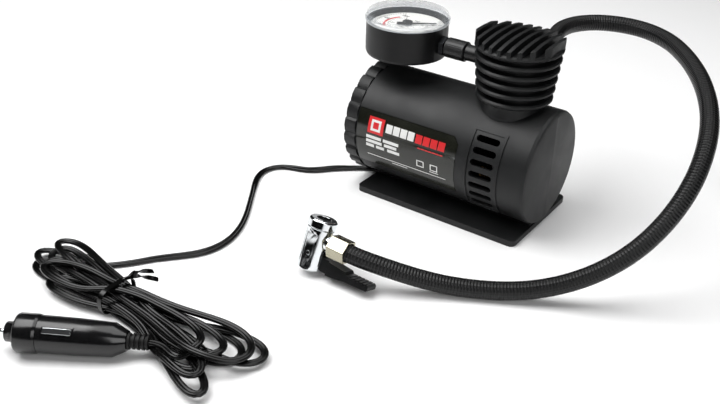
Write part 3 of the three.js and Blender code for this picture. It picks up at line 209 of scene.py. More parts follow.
def flatInk(name, colour):
    # screen-printed ink: even colour with a faint mottle from the mesh
    roughness = 0.35
    material, tree, shader = startMaterial(name, colour, roughness, ior=1.5)
    mottle = grain(tree, objectPlace(tree), 0.8)
    tree.links.new(spread(tree, mottle, roughness - 0.05, roughness + 0.08), shader.inputs["Roughness"])
    return material


def clearAcrylic(name, rim=None):
    # injection-moulded clear acrylic: see-through, with a sharp shine, turning pale and less clear towards
    # its thick rim, a painted highlight
    material, tree, shader = startMaterial(name, "c9ced2", 0.04, ior=1.49)
    shader.inputs["Alpha"].default_value = 0.1
    shader.inputs["Coat Weight"].default_value = 1.0
    place = objectPlace(tree)
    haze = grain(tree, place, 9)
    tree.links.new(spread(tree, haze, 0.03, 0.08), shader.inputs["Roughness"])
    if rim:
        centreX, centreY, clearRadius, rimRadius = rim
        flat = addNode(
            tree, "ShaderNodeVectorMath", {0: place, 1: (1, 1, 0)}, operation="MULTIPLY").outputs[0]
        middle = (centreX * mm, centreY * mm, 0)
        reach = addNode(
            tree, "ShaderNodeVectorMath", {0: flat, 1: middle}, operation="DISTANCE").outputs["Value"]
        # painted highlight: the lens turns pale and less clear towards its rim
        paintedRimHighlight = addNode(tree, "ShaderNodeMapRange", {
            "Value": reach, "From Min": clearRadius * mm, "From Max": rimRadius * mm,
            "To Min": 0.08, "To Max": 0.5}).outputs[0]
        tree.links.new(paintedRimHighlight, shader.inputs["Alpha"])
    return material


mat = {
    "satinAbs": mouldedPlastic("satinAbs", "0d0e0f", "151617", 0.5, 0.9, 0.04, shine=0.36),
    "castingAbs": mouldedPlastic("ribbedHeadAbs", "0a0b0c", "121314", 0.45, 0.9, 0.04, shine=0.3),
    "glossAbs": mouldedPlastic("glossAbs", "0b0b0c", "111112", 0.2, 2.5, 0.02, shine=0.45),
    "canPaint": mouldedPlastic("blackCanPaint", "0d0d0e", "131314", 0.4, 0.7, 0.03, shine=0.25),
    "glassFilledNylon": mouldedPlastic("blackNylon", "090a0a", "121213", 0.32, 1.1, 0.04, shine=0.35),
    "rubber": mouldedPlastic("sealRubber", "0b0b0b", "141414", 0.6, 0.8, 0.06, 1.52, 0.3),
    "pvc": mouldedPlastic("softPvc", "040404", "080808", 0.22, 3.0, 0.03, 1.53, 0.3),
    # the braid's second, paler colour is the painted sheen on its crowns
    "braid": braidedCover("braidedHoseCover", "040404", "121213", 1.9, 11),
    "chrome": platedMetal("chromedZinc", "dfe2e4", 0.07, 8),
    "nickel": platedMetal("nickelledBrass", "aaa592", 0.2, 3, (1, 4, 4)),
    "brass": platedMetal("machinedBrass", "b98f4e", 0.24, 2, (6, 1, 1)),
    "steel": platedMetal("zincedSteel", "a9acae", 0.34, 3),
    # dark steel: the gauge socket's own colour, and painted shade on the motor can seen through the vents
    "darkSteelAndShade": platedMetal("blackenedSteelAndPaintedShade", "2b2c2e", 0.4, 3),
    "alloy": platedMetal("dieCastAlloy", "6e7073", 0.5, 1.5),
    "copper": platedMetal("enamelledCopper", "8a4a28", 0.35, 0.9, (1, 8, 8)),
    # printed card and gloss vinyl have the same even grain, only fainter
    "dialCard": mouldedPlastic("dialCard", "eeeeea", "f5f5f1", 0.5, 0.9, 0.01),
    "labelVinyl": mouldedPlastic("labelVinyl", "191a15", "22231d", 0.16, 4.0, 0.02, shine=0.5),
    "inkWhite": flatInk("inkWhite", "e8e8e6"),
    "inkRed": flatInk("inkRed", "d42a2e"),
    "inkBlack": flatInk("inkBlack", "161616"),
    "acrylic": clearAcrylic("clearAcrylic", (-49.9, 0, 25.6, 27.2)),
    "fuseGlass": clearAcrylic("fuseGlass"),
}
print("materials ready")


# shared shaping

def link(piece, body):
    scene.collection.objects.link(piece)
    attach(piece, body)


def smoothMesh(mesh, angle):
    mesh.shade_smooth()
    mesh.set_sharp_from_angle(angle=math.radians(angle))


def refine(nodeName, pieceName, material, bevelMm):
    source = cadNodes[nodeName]
    mesh = bpy.data.meshes.new(pieceName)
    work = bmesh.new()
    work.from_mesh(source.data)
    bmesh.ops.remove_doubles(work, verts=work.verts, dist=2e-6)
    bmesh.ops.dissolve_limit(work, angle_limit=math.radians(0.5), verts=work.verts, edges=work.edges)
    work.to_mesh(mesh)
    work.free()
    smoothMesh(mesh, 30)
    mesh.materials.append(material)
    piece = bpy.data.objects.new(pieceName, mesh)
    link(piece, source["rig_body"])
    piece.cycles.shadow_terminator_geometry_offset = 0.1
    if bevelMm:
        bevel = piece.modifiers.new("edgeRound", "BEVEL")
        bevel.width = bevelMm * mm
        bevel.segments = 2
        bevel.limit_method = "ANGLE"
        bevel.angle_limit = math.radians(38)
        bevel.harden_normals = True
    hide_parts(nodeName)
    return piece


def roundNormals(mesh, axisHeight, radius):
    # corners on the barrel's outside take the true cylinder's normal, whatever cuts its facets
    normals = []
    for polygon in mesh.polygons:
        for loop in polygon.loop_indices:
            place = mesh.vertices[mesh.loops[loop].vertex_index].co
            away = Vector((0, place.y, place.z - axisHeight * mm))
            onBarrel = away.length > (radius - 0.3) * mm and away.normalized().dot(polygon.normal) > 0.994
            normals.append(away.normalized() if onBarrel else mesh.corner_normals[loop].vector.copy())
    mesh.normals_split_custom_set(normals)


def meshPiece(pieceName, points, faces, material, angle):
    mesh = bpy.data.meshes.new(pieceName)
    mesh.from_pydata([tuple(p) for p in points], [], faces)
    work = bmesh.new()
    work.from_mesh(mesh)
    bmesh.ops.recalc_face_normals(work, faces=work.faces)
    work.to_mesh(mesh)
    work.free()
    smoothMesh(mesh, angle)
    mesh.materials.append(material)
    return bpy.data.objects.new(pieceName, mesh)


def smoothPath(points, stepMm):
    # centripetal spline through the points, then evenly spaced along its length
    knots = [Vector(p) for p in points]
    knots = [2 * knots[0] - knots[1]] + knots + [2 * knots[-1] - knots[-2]]
    fine = []
    for i in range(1, len(knots) - 2):
        a, b, c, d = knots[i - 1:i + 3]
        ab, bc, cd = (max((q - p).length, 1e-6) ** 0.5 for p, q in ((a, b), (b, c), (c, d)))
        startPull = ((b - a) / ab - (c - a) / (ab + bc) + (c - b) / bc) * bc
        endPull = ((c - b) / bc - (d - b) / (bc + cd) + (d - c) / cd) * bc
        for k in range(24):
            t = k / 24
            fine.append(
                b * (2 * t ** 3 - 3 * t * t + 1)
                + startPull * (t ** 3 - 2 * t * t + t)
                + c * (3 * t * t - 2 * t ** 3)
                + endPull * (t ** 3 - t * t)
            )
    fine.append(knots[-2])
    reach = [0.0]
    for p, q in zip(fine, fine[1:]):
        reach.append(reach[-1] + (q - p).length)
    count = max(2, round(reach[-1] / stepMm))
    even = []
    j = 0
    for i in range(count + 1):
        goal = reach[-1] * i / count
        while j < len(fine) - 2 and reach[j + 1] < goal:
            j += 1
        share = (goal - reach[j]) / max(reach[j + 1] - reach[j], 1e-9)
        even.append(fine[j].lerp(fine[j + 1], min(1, share)))
    return even, reach[-1]


def sweep(pieceName, path, section, material, rolls=None, frameUp=None):
    # a closed tube along the path; its UV map runs round the tube and along it in millimetres
    count, sides = len(path), len(section)
    tangents = [(path[min(i + 1, count - 1)] - path[max(i - 1, 0)]).normalized() for i in range(count)]
    side = tangents[0].cross(Vector((0, 0, 1))).normalized()
    points, alongs, run = [], [], 0.0
    for i, (place, ahead) in enumerate(zip(path, tangents)):
        if frameUp:
            side = ahead.cross(Vector(frameUp)).normalized()
        else:
            side = (side - ahead * side.dot(ahead)).normalized()
        top = side.cross(ahead)
        if i:
            run += (place - path[i - 1]).length
        alongs.append(run)
        roll = rolls[i] if rolls else 0.0
        for x, y in section:
            turnedX = x * math.cos(roll) - y * math.sin(roll)
            turnedY = x * math.sin(roll) + y * math.cos(roll)
            points.append((place + side * turnedX + top * turnedY) * mm)
    faces = []
    for i in range(count - 1):
        for k in range(sides):
            n = (k + 1) % sides
            faces.append((i * sides + k, i * sides + n, (i + 1) * sides + n, (i + 1) * sides + k))
    faces.append(tuple(range(sides)))
    faces.append(tuple((count - 1) * sides + k for k in reversed(range(sides))))
    piece = meshPiece(pieceName, points, faces, material, 60)
    uv = piece.data.uv_layers.new(name="along")
    for polygon in piece.data.polygons:
        wrap = polygon.index < (count - 1) * sides and polygon.index % sides == sides - 1
        for loop in polygon.loop_indices:
            vertex = piece.data.loops[loop].vertex_index
            column = vertex % sides
            uv.data[loop].uv = ((sides if wrap and column == 0 else column) / sides, alongs[vertex // sides])
    return piece


def roundSection(radius, sides):
    turns = [2 * math.pi * k / sides for k in range(sides)]
    return [(radius * math.cos(turn), radius * math.sin(turn)) for turn in turns]


def ringFaces(base, other):
    # the four sides between two rings of four corners
    return [(base + j, base + (j + 1) % 4, other + (j + 1) % 4, other + j) for j in range(4)]


def strapFaces(points, faces, steps):
    # joins steps + 1 rings of four corners, the last points laid, into one closed strap
    base = len(points) - 4 * (steps + 1)
    for i in range(steps):
        faces.extend(ringFaces(base + 4 * i, base + 4 * i + 4))
    faces.append(tuple(base + j for j in (3, 2, 1, 0)))
    faces.append(tuple(base + 4 * steps + j for j in (0, 1, 2, 3)))


# hose and cord

hosePlan = {"radius": 5.45, "sides": 28, "step": 2.0}
hosePoints = [
    (31.3, 30.1, 103), (31.3, 40, 103), (29.9, 51, 103.3), (27, 62.5, 103.8),
    (25.4, 75, 104.2), (27.6, 87.5, 104.4), (34.2, 98.8, 104.4), (44.3, 107.2, 104.2),
    (56.7, 111.7, 103.9), (69.9, 111.8, 103.6), (82, 107.6, 103.2), (93.4, 99.8, 102.8),
    (104.5, 88.8, 102), (115.3, 75.5, 100.8), (125.5, 60.8, 98.9), (134.5, 45.5, 96.2),
    (142, 30, 92.6), (147.8, 14.5, 87.6), (151.5, -0.6, 80.7), (152.8, -15, 71.5),
    (151.2, -28, 60.8), (146.8, -39.4, 49.5), (140, -49.2, 38.5), (131, -57.6, 28.4),
    (120, -65.5, 19.6), (107.5, -73.5, 12.7), (94, -82, 8.2), (80, -90.3, 6.1),
    (66, -98.2, 5.8), (52.5, -105.8, 7), (39.5, -113.2, 9.8), (27, -120, 13.4),
    (16.5, -124.8, 16.2), (7.5, -127.6, 17.9), (-1, -128.42, 18.7), (-5.5, -128.5, 19.06),
    (-10, -128.55, 19.4),
]

cordPlan = {
    "halfWidth": 2.15,
    "coreRadius": 1.2,
    "step": 2.2,
    "layer": 2.75,
    "ground": 1.4,
    "freeFrom": 235,
    "floorGap": 0.05,
    # the flat cord twists on edge twice between the housing and the hank: length run, degrees
    "rolls": [
        (0, 0), (22, 8), (40, 72), (60, 35), (80, 0), (105, 20), (125, 62), (190, 66), (225, 25), (250, 0),
        (1e5, 0),
    ],
}
cordPoints = [
    (-59.5, -7, 2.05), (-67, -8.2, 1.6), (-75, -12.2, 1.5), (-83, -19, 1.5),
    (-90.5, -27.2, 1.5), (-97.5, -35, 1.5), (-105, -40, 1.5), (-112.8, -42.6, 1.5),
    (-119.8, -45.6, 1.5), (-124.8, -51.2, 1.5), (-126.5, -59.2, 1.5), (-124.2, -67.8, 1.5),
    (-119.4, -76.5, 1.5), (-113.3, -85.5, 1.5), (-106.5, -95.5, 1.5), (-99.8, -105.5, 1.5),
    (-93.7, -115.2, 1.5), (-88.2, -126, 1.5), (-84.6, -136.5, 1.5), (-83.4, -146.5, 1.5),
    (-84.6, -155.5, 1.5), (-88.2, -163.5, 1.5), (-93.6, -170.5, 1.5), (-99.6, -177.5, 1.5),
    (-105.5, -184.5, 1.5), (-110.4, -191.5, 1.5), (-113.6, -197.5, 1.5),
]
hankPlan = {
    "waist": (-87, -227),
    # each turn has a right end's x, y and half width, then a left end's
    "turns": [
        (2, -221, 12, -163, -228, 8),
        (-8, -238, 9, -152, -214, 8),
        (14, -216, 12, -168, -222, 8),
        (9, -256, 7.5, -138, -238, 7.5),
        (-4, -228, 11, -158, -219, 9),
        (0, -249, 8, -150, -229, 8),
        (9, -223, 15, -160, -212, 7.5),
        (-14, -233, 9, -146, -234, 8),
    ],
    "lanes": [2.6, 7.4],
    "lobeLift": 1.35,
    "endLift": 0.8,
    # how far from a lobe's end its strands begin to part, and where they are widest
    "leftRun": (46, 20),
    "rightRun": (58, 30),
    # how much of a lobe's sideways pull the strands have taken up at those two places
    "leftLean": (0.5, 0.85),
    "rightLean": (0.2, 0.58),
    # a lobe's round end, in shares of its half width: back from the end, and to the side
    "leftEnd": (0.3, 0.72),
    "rightEnd": (0.35, 0.75),
    "start": (-121, -207, 0.3),
}
settlePlan = {
    "rounds": 60,
    "gap": 3.7,
    "push": 0.3,
    "rise": 0.6,
    "neighbours": 8,
    "ease": 0.35,
    "heldEnd": 12,
    "lastRounds": 12,
    "lastEase": 0.5,
    "lastHeld": 6,
}
tailPoints = [(-36.6, -242.9, 7.2), (-41.7, -246.1, 8.5), (-44.8, -248.1, 8.66)]


def hankRoute(plan, ground, layer):
    waistX, waistY = plan["waist"]
    leftNear, leftWide = plan["leftRun"]
    rightNear, rightWide = plan["rightRun"]
    leftNearLean, leftWideLean = plan["leftLean"]
    rightNearLean, rightWideLean = plan["rightLean"]
    leftBack, leftAside = plan["leftEnd"]
    rightBack, rightAside = plan["rightEnd"]
    route = []
    last = len(plan["turns"]) - 1
    for k, (rightX, rightY, rightHalf, leftX, leftY, leftHalf) in enumerate(plan["turns"]):
        lane = plan["lanes"][k % 2]
        waistZ = ground + layer * (k // 2)
        lobeZ = ground + plan["lobeLift"] * k
        endZ = ground + plan["lobeLift"] * k * plan["endLift"]
        leftPull, rightPull = leftY - waistY, rightY - waistY
        leftMiddle = waistY + leftPull * leftNearLean
        leftShoulder = waistY + leftPull * leftWideLean
        leftParting = (leftHalf + lane) / 2
        leftRound = leftX + leftHalf * leftBack
        rightMiddle = waistY + rightPull * rightNearLean
        rightShoulder = waistY + rightPull * rightWideLean
        rightRound = rightX - rightHalf * rightBack
        if k == 0:
            startX, startY, startLift = plan["start"]
            route.append((startX, startY, ground + startLift))
        else:
            route.append((leftX + leftNear, leftMiddle + leftParting, waistZ))
        route.append((leftX + leftWide, leftShoulder + leftHalf, lobeZ))
        route.append((leftRound, leftY + leftHalf * leftAside, endZ))
        route.append((leftX, leftY, endZ))
        route.append((leftRound, leftY - leftHalf * leftAside, endZ))
        route.append((leftX + leftWide, leftShoulder - leftHalf, lobeZ))
        route.append((leftX + leftNear, leftMiddle - leftParting, waistZ))
        # the last turn reaches the right lobe from its far side and comes back to the plug
        side = 1 if k == last else -1
        route.append((waistX, waistY + (0.2 if k == last else -lane), waistZ))
        route.append((rightX - rightNear, rightMiddle + side * rightHalf * 0.5, waistZ))
        route.append((rightX - rightWide, rightShoulder + side * rightHalf, lobeZ))
        route.append((rightRound, rightY + side * rightHalf * rightAside, endZ))
        route.append((rightX, rightY, endZ))
        if k == last:
            route.append((rightRound, rightY - rightHalf * rightAside, endZ * 0.6))
            route.append((rightX - 16, rightY - rightHalf, ground + 1.3))
        else:
            route.append((rightRound, rightY + rightHalf * rightAside, endZ))
            route.append((rightX - rightWide, rightShoulder + rightHalf, lobeZ))
            route.append((rightX - rightNear, rightMiddle + rightHalf * 0.5, waistZ))
            route.append((waistX, waistY + lane, waistZ))
    return route


def settle(path, first, floorMm, plan):
    # strands that share a place push each other apart, then each is eased straight again
    count = len(path)
    for _ in range(plan["rounds"]):
        tree = kdtree.KDTree(count)
        for i, place in enumerate(path):
            tree.insert(place, i)
        tree.balance()
        moves = [Vector((0, 0, 0)) for _ in path]
        for i in range(first, count - plan["heldEnd"]):
            for other, j, distance in tree.find_range(path[i], plan["gap"]):
                if abs(i - j) < plan["neighbours"]:
                    continue
                away = path[i] - other
                away.z += plan["rise"] if i > j else -plan["rise"]
                if away.length > 1e-4:
                    moves[i] += away.normalized() * (plan["gap"] - distance) * plan["push"]
        for i in range(first, count - plan["heldEnd"]):
            path[i] += moves[i]
        for i in range(first, count - plan["heldEnd"]):
            middle = (path[i - 1] + path[i + 1]) / 2
            path[i] = path[i].lerp(middle, plan["ease"])
            path[i].z = max(path[i].z, floorMm)
    for _ in range(plan["lastRounds"]):
        before = list(path)
        for i in range(first, count - plan["lastHeld"]):
            path[i] = before[i].lerp((before[i - 1] + before[i + 1]) / 2, plan["lastEase"])
            path[i].z = max(path[i].z, floorMm)
    return path


def twinSection(halfWidth, coreRadius):
    # two round cores side by side, joined by a narrow web
    offset = halfWidth - coreRadius
    points = []
    for centre, firstAngle in ((offset, -144), (-offset, 36)):
        for k in range(9):
            angle = math.radians(firstAngle + 36 * k)
            points.append((centre + coreRadius * math.cos(angle), coreRadius * math.sin(angle)))
    return points


def cordRoll(keys, along):
    for (a, first), (b, second) in zip(keys, keys[1:]):
        if along <= b:
            t = (along - a) / (b - a)
            return math.radians(first + (second - first) * t * t * (3 - 2 * t))
    return 0.0


def makeHose(plan):
    path, length = smoothPath(hosePoints, plan["step"])
    hose = sweep("braidedHose", path, roundSection(plan["radius"], plan["sides"]), mat["braid"])
    link(hose, "housing")
    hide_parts("hose")
    return hose, path, length


def makeCord(plan):
    route = cordPoints + hankRoute(hankPlan, plan["ground"], plan["layer"]) + tailPoints
    path = smoothPath(route, plan["step"])[0]
    first = round(plan["freeFrom"] / plan["step"])
    path = settle(path, first, plan["ground"], settlePlan)
    # every other point and always the last, so that the settled strands come out smooth
    path, length = smoothPath(path[::2] + [path[-1]] * (len(path) % 2 == 0), plan["step"])
    rolls, run = [], 0.0
    for i, place in enumerate(path):
        if i:
            run += (place - path[i - 1]).length
        roll = cordRoll(plan["rolls"], run)
        rolls.append(roll)
        lift = (plan["halfWidth"] - plan["coreRadius"]) * abs(math.sin(roll))
        place.z = max(place.z, plan["coreRadius"] + lift + plan["floorGap"])
    section = twinSection(plan["halfWidth"], plan["coreRadius"])
    cord = sweep("flatTwinCord", path, section, mat["pvc"], rolls, (0, 0, 1))
    link(cord, "housing")
    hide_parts("cord", "cord_hank", "plug_cord")
    return cord, path, length


hose, hosePath, hoseLength = makeHose(hosePlan)
cord, cordPath, cordLength = makeCord(cordPlan)
print("hose", round(hoseLength), "mm, cord", round(cordLength), "mm")


# pieces that keep the frame's shape, with smooth skins and broken edges

barrelPlan = {"radius": 37.5, "axisHeight": 41.56}  # the housing's round outside
finishPlan = {
    # node: piece, material, edge rounding in mm
    "front_shell": ("frontShell", "satinAbs", 0.0),
    "rear_shell": ("rearShell", "satinAbs", 0.0),
    "end_cap": ("scallopedCap", "satinAbs", 0.25),
    "base_plate": ("basePlate", "satinAbs", 0.6),
    "label": ("labelSheet", "labelVinyl", 0.0),
    "head_cover": ("ribbedHead", "castingAbs", 0.25),
    "rocker_switch": ("rockerSwitch", "glossAbs", 0.3),
    "cord_grommet": ("cordGrommet", "rubber", 0.15),
    "gauge_case": ("gaugeCan", "canPaint", 0.0),
    "gauge_lens": ("gaugeLens", "acrylic", 0.0),
    "gauge_dial": ("dialDisc", "dialCard", 0.0),
    "gauge_socket": ("gaugeSocket", "darkSteelAndShade", 0.25),
    "union_nut": ("unionNut", "glassFilledNylon", 0.15),
    "gauge_stem": ("gaugeStem", "glassFilledNylon", 0.2),
    "hose_fitting": ("hoseFitting", "brass", 0.2),
    "hose_collar": ("hoseCollar", "steel", 0.3),
    "hose_ferrule": ("hoseFerrule", "nickel", 0.35),
    "chuck_body": ("chuckBody", "chrome", 0.35),
    "chuck_cap": ("chuckCap", "chrome", 0.3),
    "chuck_seal": ("chuckSeal", "rubber", 0.2),
    "chuck_lever": ("thumbLever", "glassFilledNylon", 0.35),
    "lever_pin": ("leverPin", "chrome", 0.3),
    "plug_cap": ("plugCap", "glossAbs", 0.0),
    "plug_body": ("plugBarrel", "glossAbs", 0.0),
    "plug_tip": ("plugTip", "chrome", 0.0),
    "plug_contact_left": ("plugContactLeft", "chrome", 0.3),
    "plug_contact_right": ("plugContactRight", "chrome", 0.3),
    "plug_boot": ("plugBoot", "rubber", 0.0),
}
innerFinish = {
    "shell_screw_1": "steel", "shell_screw_2": "steel",
    "base_screw_1": "steel", "base_screw_2": "steel", "base_screw_3": "steel", "base_screw_4": "steel",
    "cylinder": "alloy", "cylinder_head": "alloy", "outlet_valve": "steel", "valve_spring": "steel",
    "piston": "alloy", "piston_ring": "rubber", "wrist_pin": "steel", "connecting_rod": "alloy",
    "crank_pin": "steel", "drive_gear": "glassFilledNylon", "gear_axle": "steel", "gearbox_frame": "alloy",
    # the motor can is dark as painted shade for the inside of the housing seen through the vents
    "motor_can": "darkSteelAndShade", "motor_end_bell": "glassFilledNylon", "motor_armature": "copper",
    "motor_shaft": "steel", "pinion": "brass", "bourdon_tube": "brass", "gauge_pointer": "inkBlack",
    "plug_fuse": "fuseGlass", "tip_spring": "steel",
}

made = {}
for nodeName, (pieceName, materialName, bevelMm) in finishPlan.items():
    made[nodeName] = refine(nodeName, pieceName, mat[materialName], bevelMm)
for nodeName, materialName in innerFinish.items():
    skin = cadNodes[nodeName].data.materials
    skin.clear()
    skin.append(mat[materialName])
for nodeName in ("front_shell", "rear_shell"):
    roundNormals(made[nodeName].data, barrelPlan["axisHeight"], barrelPlan["radius"])
print("frame pieces finished")


# twist tie: a flat band round the hank's waist and two twisted tails

tiePlan = {
    "clear": 2.4,
    "low": 0.3,
    "width": 3.2,
    "thick": 0.5,
    "sides": 40,
    "corner": 0.6,
    "waistReach": (5, 30),
    # each tail's start beside the waist's middle, and how far it runs
    "tails": [((0.4, 4.5), (3, 19)), ((-0.4, 4.5), (12, 15))],
    "tailSteps": 18,
    "tailHalfWidth": 1.3,
    "tailHalfThick": 0.3,
    "tailTwist": 1.9,
    # a tail weaves to and fro, then rises and droops
    "weave": (0.9, 7, 0.6),
    "droop": (0.2, 3.2, 1.9, 6.5),
}
flatCorners = ((-1, -1), (-1, 1), (1, 1), (1, -1))


def makeTie(plan):
    waistX, waistY = hankPlan["waist"]
    reachX, reachY = plan["waistReach"]
    crossing = [p for p in cordPath if abs(p.x - waistX) < reachX and abs(p.y - waistY) < reachY]
    lowY, highY = min(p.y for p in crossing), max(p.y for p in crossing)
    waistY = (lowY + highY) / 2
    halfWidth = (highY - lowY) / 2 + plan["clear"]
    high = max(p.z for p in crossing) + plan["clear"]
    sides, corner = plan["sides"], plan["corner"]
    loop = []
    for k in range(sides):
        angle = 2 * math.pi * k / sides
        side, lift = math.cos(angle), math.sin(angle)
        y = waistY + halfWidth * math.copysign(abs(side) ** corner, side)
        halfHeight = (high - plan["low"]) / 2
        z = (plan["low"] + high) / 2 + halfHeight * math.copysign(abs(lift) ** corner, lift)
        loop.append(Vector((waistX, y, z)))
    points, faces = [], []
    for k, place in enumerate(loop):
        ahead = (loop[(k + 1) % sides] - loop[k - 1]).normalized()
        out = ahead.cross(Vector((1, 0, 0))).normalized()
        for x, t in flatCorners:
            across = Vector((x * plan["width"] / 2, 0, 0))
            points.append((place + across + out * (t * plan["thick"] / 2)) * mm)
    for k in range(sides):
        faces.extend(ringFaces(4 * k, 4 * ((k + 1) % sides)))
    steps = plan["tailSteps"]
    weaveReach, weaveRate, weaveAlong = plan["weave"]
    clearOfBand, rise, riseRate, fall = plan["droop"]
    for start, reach in plan["tails"]:
        path = []
        for k in range(steps + 1):
            t = k / steps
            wobble = weaveReach * math.sin(weaveRate * t)
            path.append(Vector((
                waistX + start[0] + reach[0] * t + wobble * weaveAlong,
                waistY + start[1] + reach[1] * t + wobble,
                high + clearOfBand + rise * math.sin(riseRate * t) - fall * t * t,
            )))
        for k, place in enumerate(path):
            ahead = (path[min(k + 1, steps)] - path[max(k - 1, 0)]).normalized()
            side = ahead.cross(Vector((0, 0, 1))).normalized()
            top = side.cross(ahead)
            turn = plan["tailTwist"] * k / steps * math.pi
            across = side * math.cos(turn) + top * math.sin(turn)
            out = top * math.cos(turn) - side * math.sin(turn)
            for x, t in flatCorners:
                offset = across * (x * plan["tailHalfWidth"]) + out * (t * plan["tailHalfThick"])
                points.append((place + offset) * mm)
        strapFaces(points, faces, steps)
    tie = meshPiece("twistTie", points, faces, mat["pvc"], 40)
    link(tie, "housing")
    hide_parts("twist_tie")
    return tie


tie = makeTie(tiePlan)


# label print: plain blocks stand where words would be

labelPlan = {
    "ink": 0.17,
    "blockShare": 0.86,
    "white": [
        # x from, x to, angle from, angle to
        (-54.0, -42.2, 4.9, 1.7), (-40.6, -28.5, 4.9, 1.7),
        (-54.0, -41.4, 0.2, -3.0), (-39.6, -29.8, 0.2, -3.0),
        (-54.0, -47.6, -4.5, -7.7), (-46.0, -39.6, -4.5, -7.7), (-37.0, -27.5, -4.5, -7.7),
        (-53.5, 7.5, -17.2, -17.9), (-34.0, -22.0, -20.0, -20.7),
        (-4.4, 2.2, -13.6, -14.3),
    ],
    # rows of blocks: x from, x to, angle from, angle to, how many
    "blocks": [(-39.5, -17.0, 21.4, 12.4, 4)],
    "red": [(-16.6, 6.0, 21.0, 12.0, 4), (-14.0, 5.0, 8.4, 7.3, 7)],
    # the badge, then the bars of its square ring: half width, bar width and each bar's angles
    "badge": (-53.5, -41.3, 24.5, 7.5),
    "ring": (3.8, 1.6, (21.8, 19.4), (12.6, 10.2)),
    # two small squares: left edges, width, line width, and the angles of the lines
    "squares": ((-14.2, -4.0), 5.6, 0.7, (-5.0, -5.9), (-11.2, -12.1)),
}


def wrapPatch(points, faces, x0, x1, angle0, angle1, inner, outer):
    # a thin patch bent round the barrel, between two places along it and two angles
    axisHeight = barrelPlan["axisHeight"]
    steps = max(2, math.ceil(abs(angle1 - angle0) / 2))
    for i in range(steps + 1):
        angle = math.radians(angle0 + (angle1 - angle0) * i / steps)
        for x, r in ((x0, inner), (x0, outer), (x1, outer), (x1, inner)):
            points.append(Vector((x, -r * math.cos(angle), axisHeight + r * math.sin(angle))) * mm)
    strapFaces(points, faces, steps)


def blockRow(points, faces, x0, x1, top, bottom, count, inner, outer):
    # a row of even solid blocks with narrow gaps
    pitch = (x1 - x0) / count
    for k in range(count):
        left = x0 + k * pitch
        right = x0 + (k + labelPlan["blockShare"]) * pitch
        wrapPatch(points, faces, left, right, top, bottom, inner, outer)


def makeLabelPrint(plan):
    inner = barrelPlan["radius"] - 0.05
    outer = barrelPlan["radius"] + plan["ink"]
    x0, x1, top, bottom = plan["badge"]
    middle = (x0 + x1) / 2
    white, red = ([], []), ([], [])
    for patch in plan["white"]:
        wrapPatch(*white, *patch, inner, outer)
    for row in plan["blocks"]:
        blockRow(*white, *row, inner, outer)
    for row in plan["red"]:
        blockRow(*red, *row, inner, outer)
    wrapPatch(*red, x0, x1, top, bottom, inner, outer)
    half, bar, upper, lower = plan["ring"]
    for angle0, angle1 in (upper, lower):
        wrapPatch(*white, middle - half, middle + half, angle0, angle1, inner, outer + 0.05)
    for left in (middle - half, middle + half - bar):
        wrapPatch(*white, left, left + bar, upper[0], lower[1], inner, outer + 0.06)
    lefts, width, line, upper, lower = plan["squares"]
    for left in lefts:
        for angle0, angle1 in (upper, lower):
            wrapPatch(*white, left, left + width, angle0, angle1, inner, outer)
        for edge in (left, left + width - line):
            wrapPatch(*white, edge, edge + line, upper[0], lower[1], inner, outer + 0.01)
    inks = (("labelWhite", "inkWhite", white), ("labelRed", "inkRed", red))
    for name, inkName, (points, faces) in inks:
        piece = meshPiece(name, points, faces, mat[inkName], 40)
        link(piece, "housing")


makeLabelPrint(labelPlan)
print("label printed")


# gauge dial: two scales with numbers, their units and a red band

dialPlan = {
    "centre": (-49.9, 0),
    "face": 110.9,
    "zeroAngle": 36,
    "sweep": 270,
    # each scale: how many ticks, its radius, then a tick's short and long reach, width and how often
    "scales": [(60, 22.6, 1.5, 2.8, 0.35, 10), (40, 13.6, 1.0, 2.0, 0.3, 10)],
    # each scale's numbers: the words, their radius and height
    "numbers": [
        (["0", "50", "100", "150", "200", "250", "300"], 17.2, 3.6),
        (["0", "5", "10", "15", "20"], 10.0, 2.6),
    ],
    # each unit: its word, how far below the centre, and its height
    "units": [("psi", 9.2, 3.2), ("bar", -6.0, 2.6)],
    # start and end along the scale in degrees, then inner and outer radius
    "redBand": (169, 254, 14.6, 16.2),
    "upAngle": -99,
}


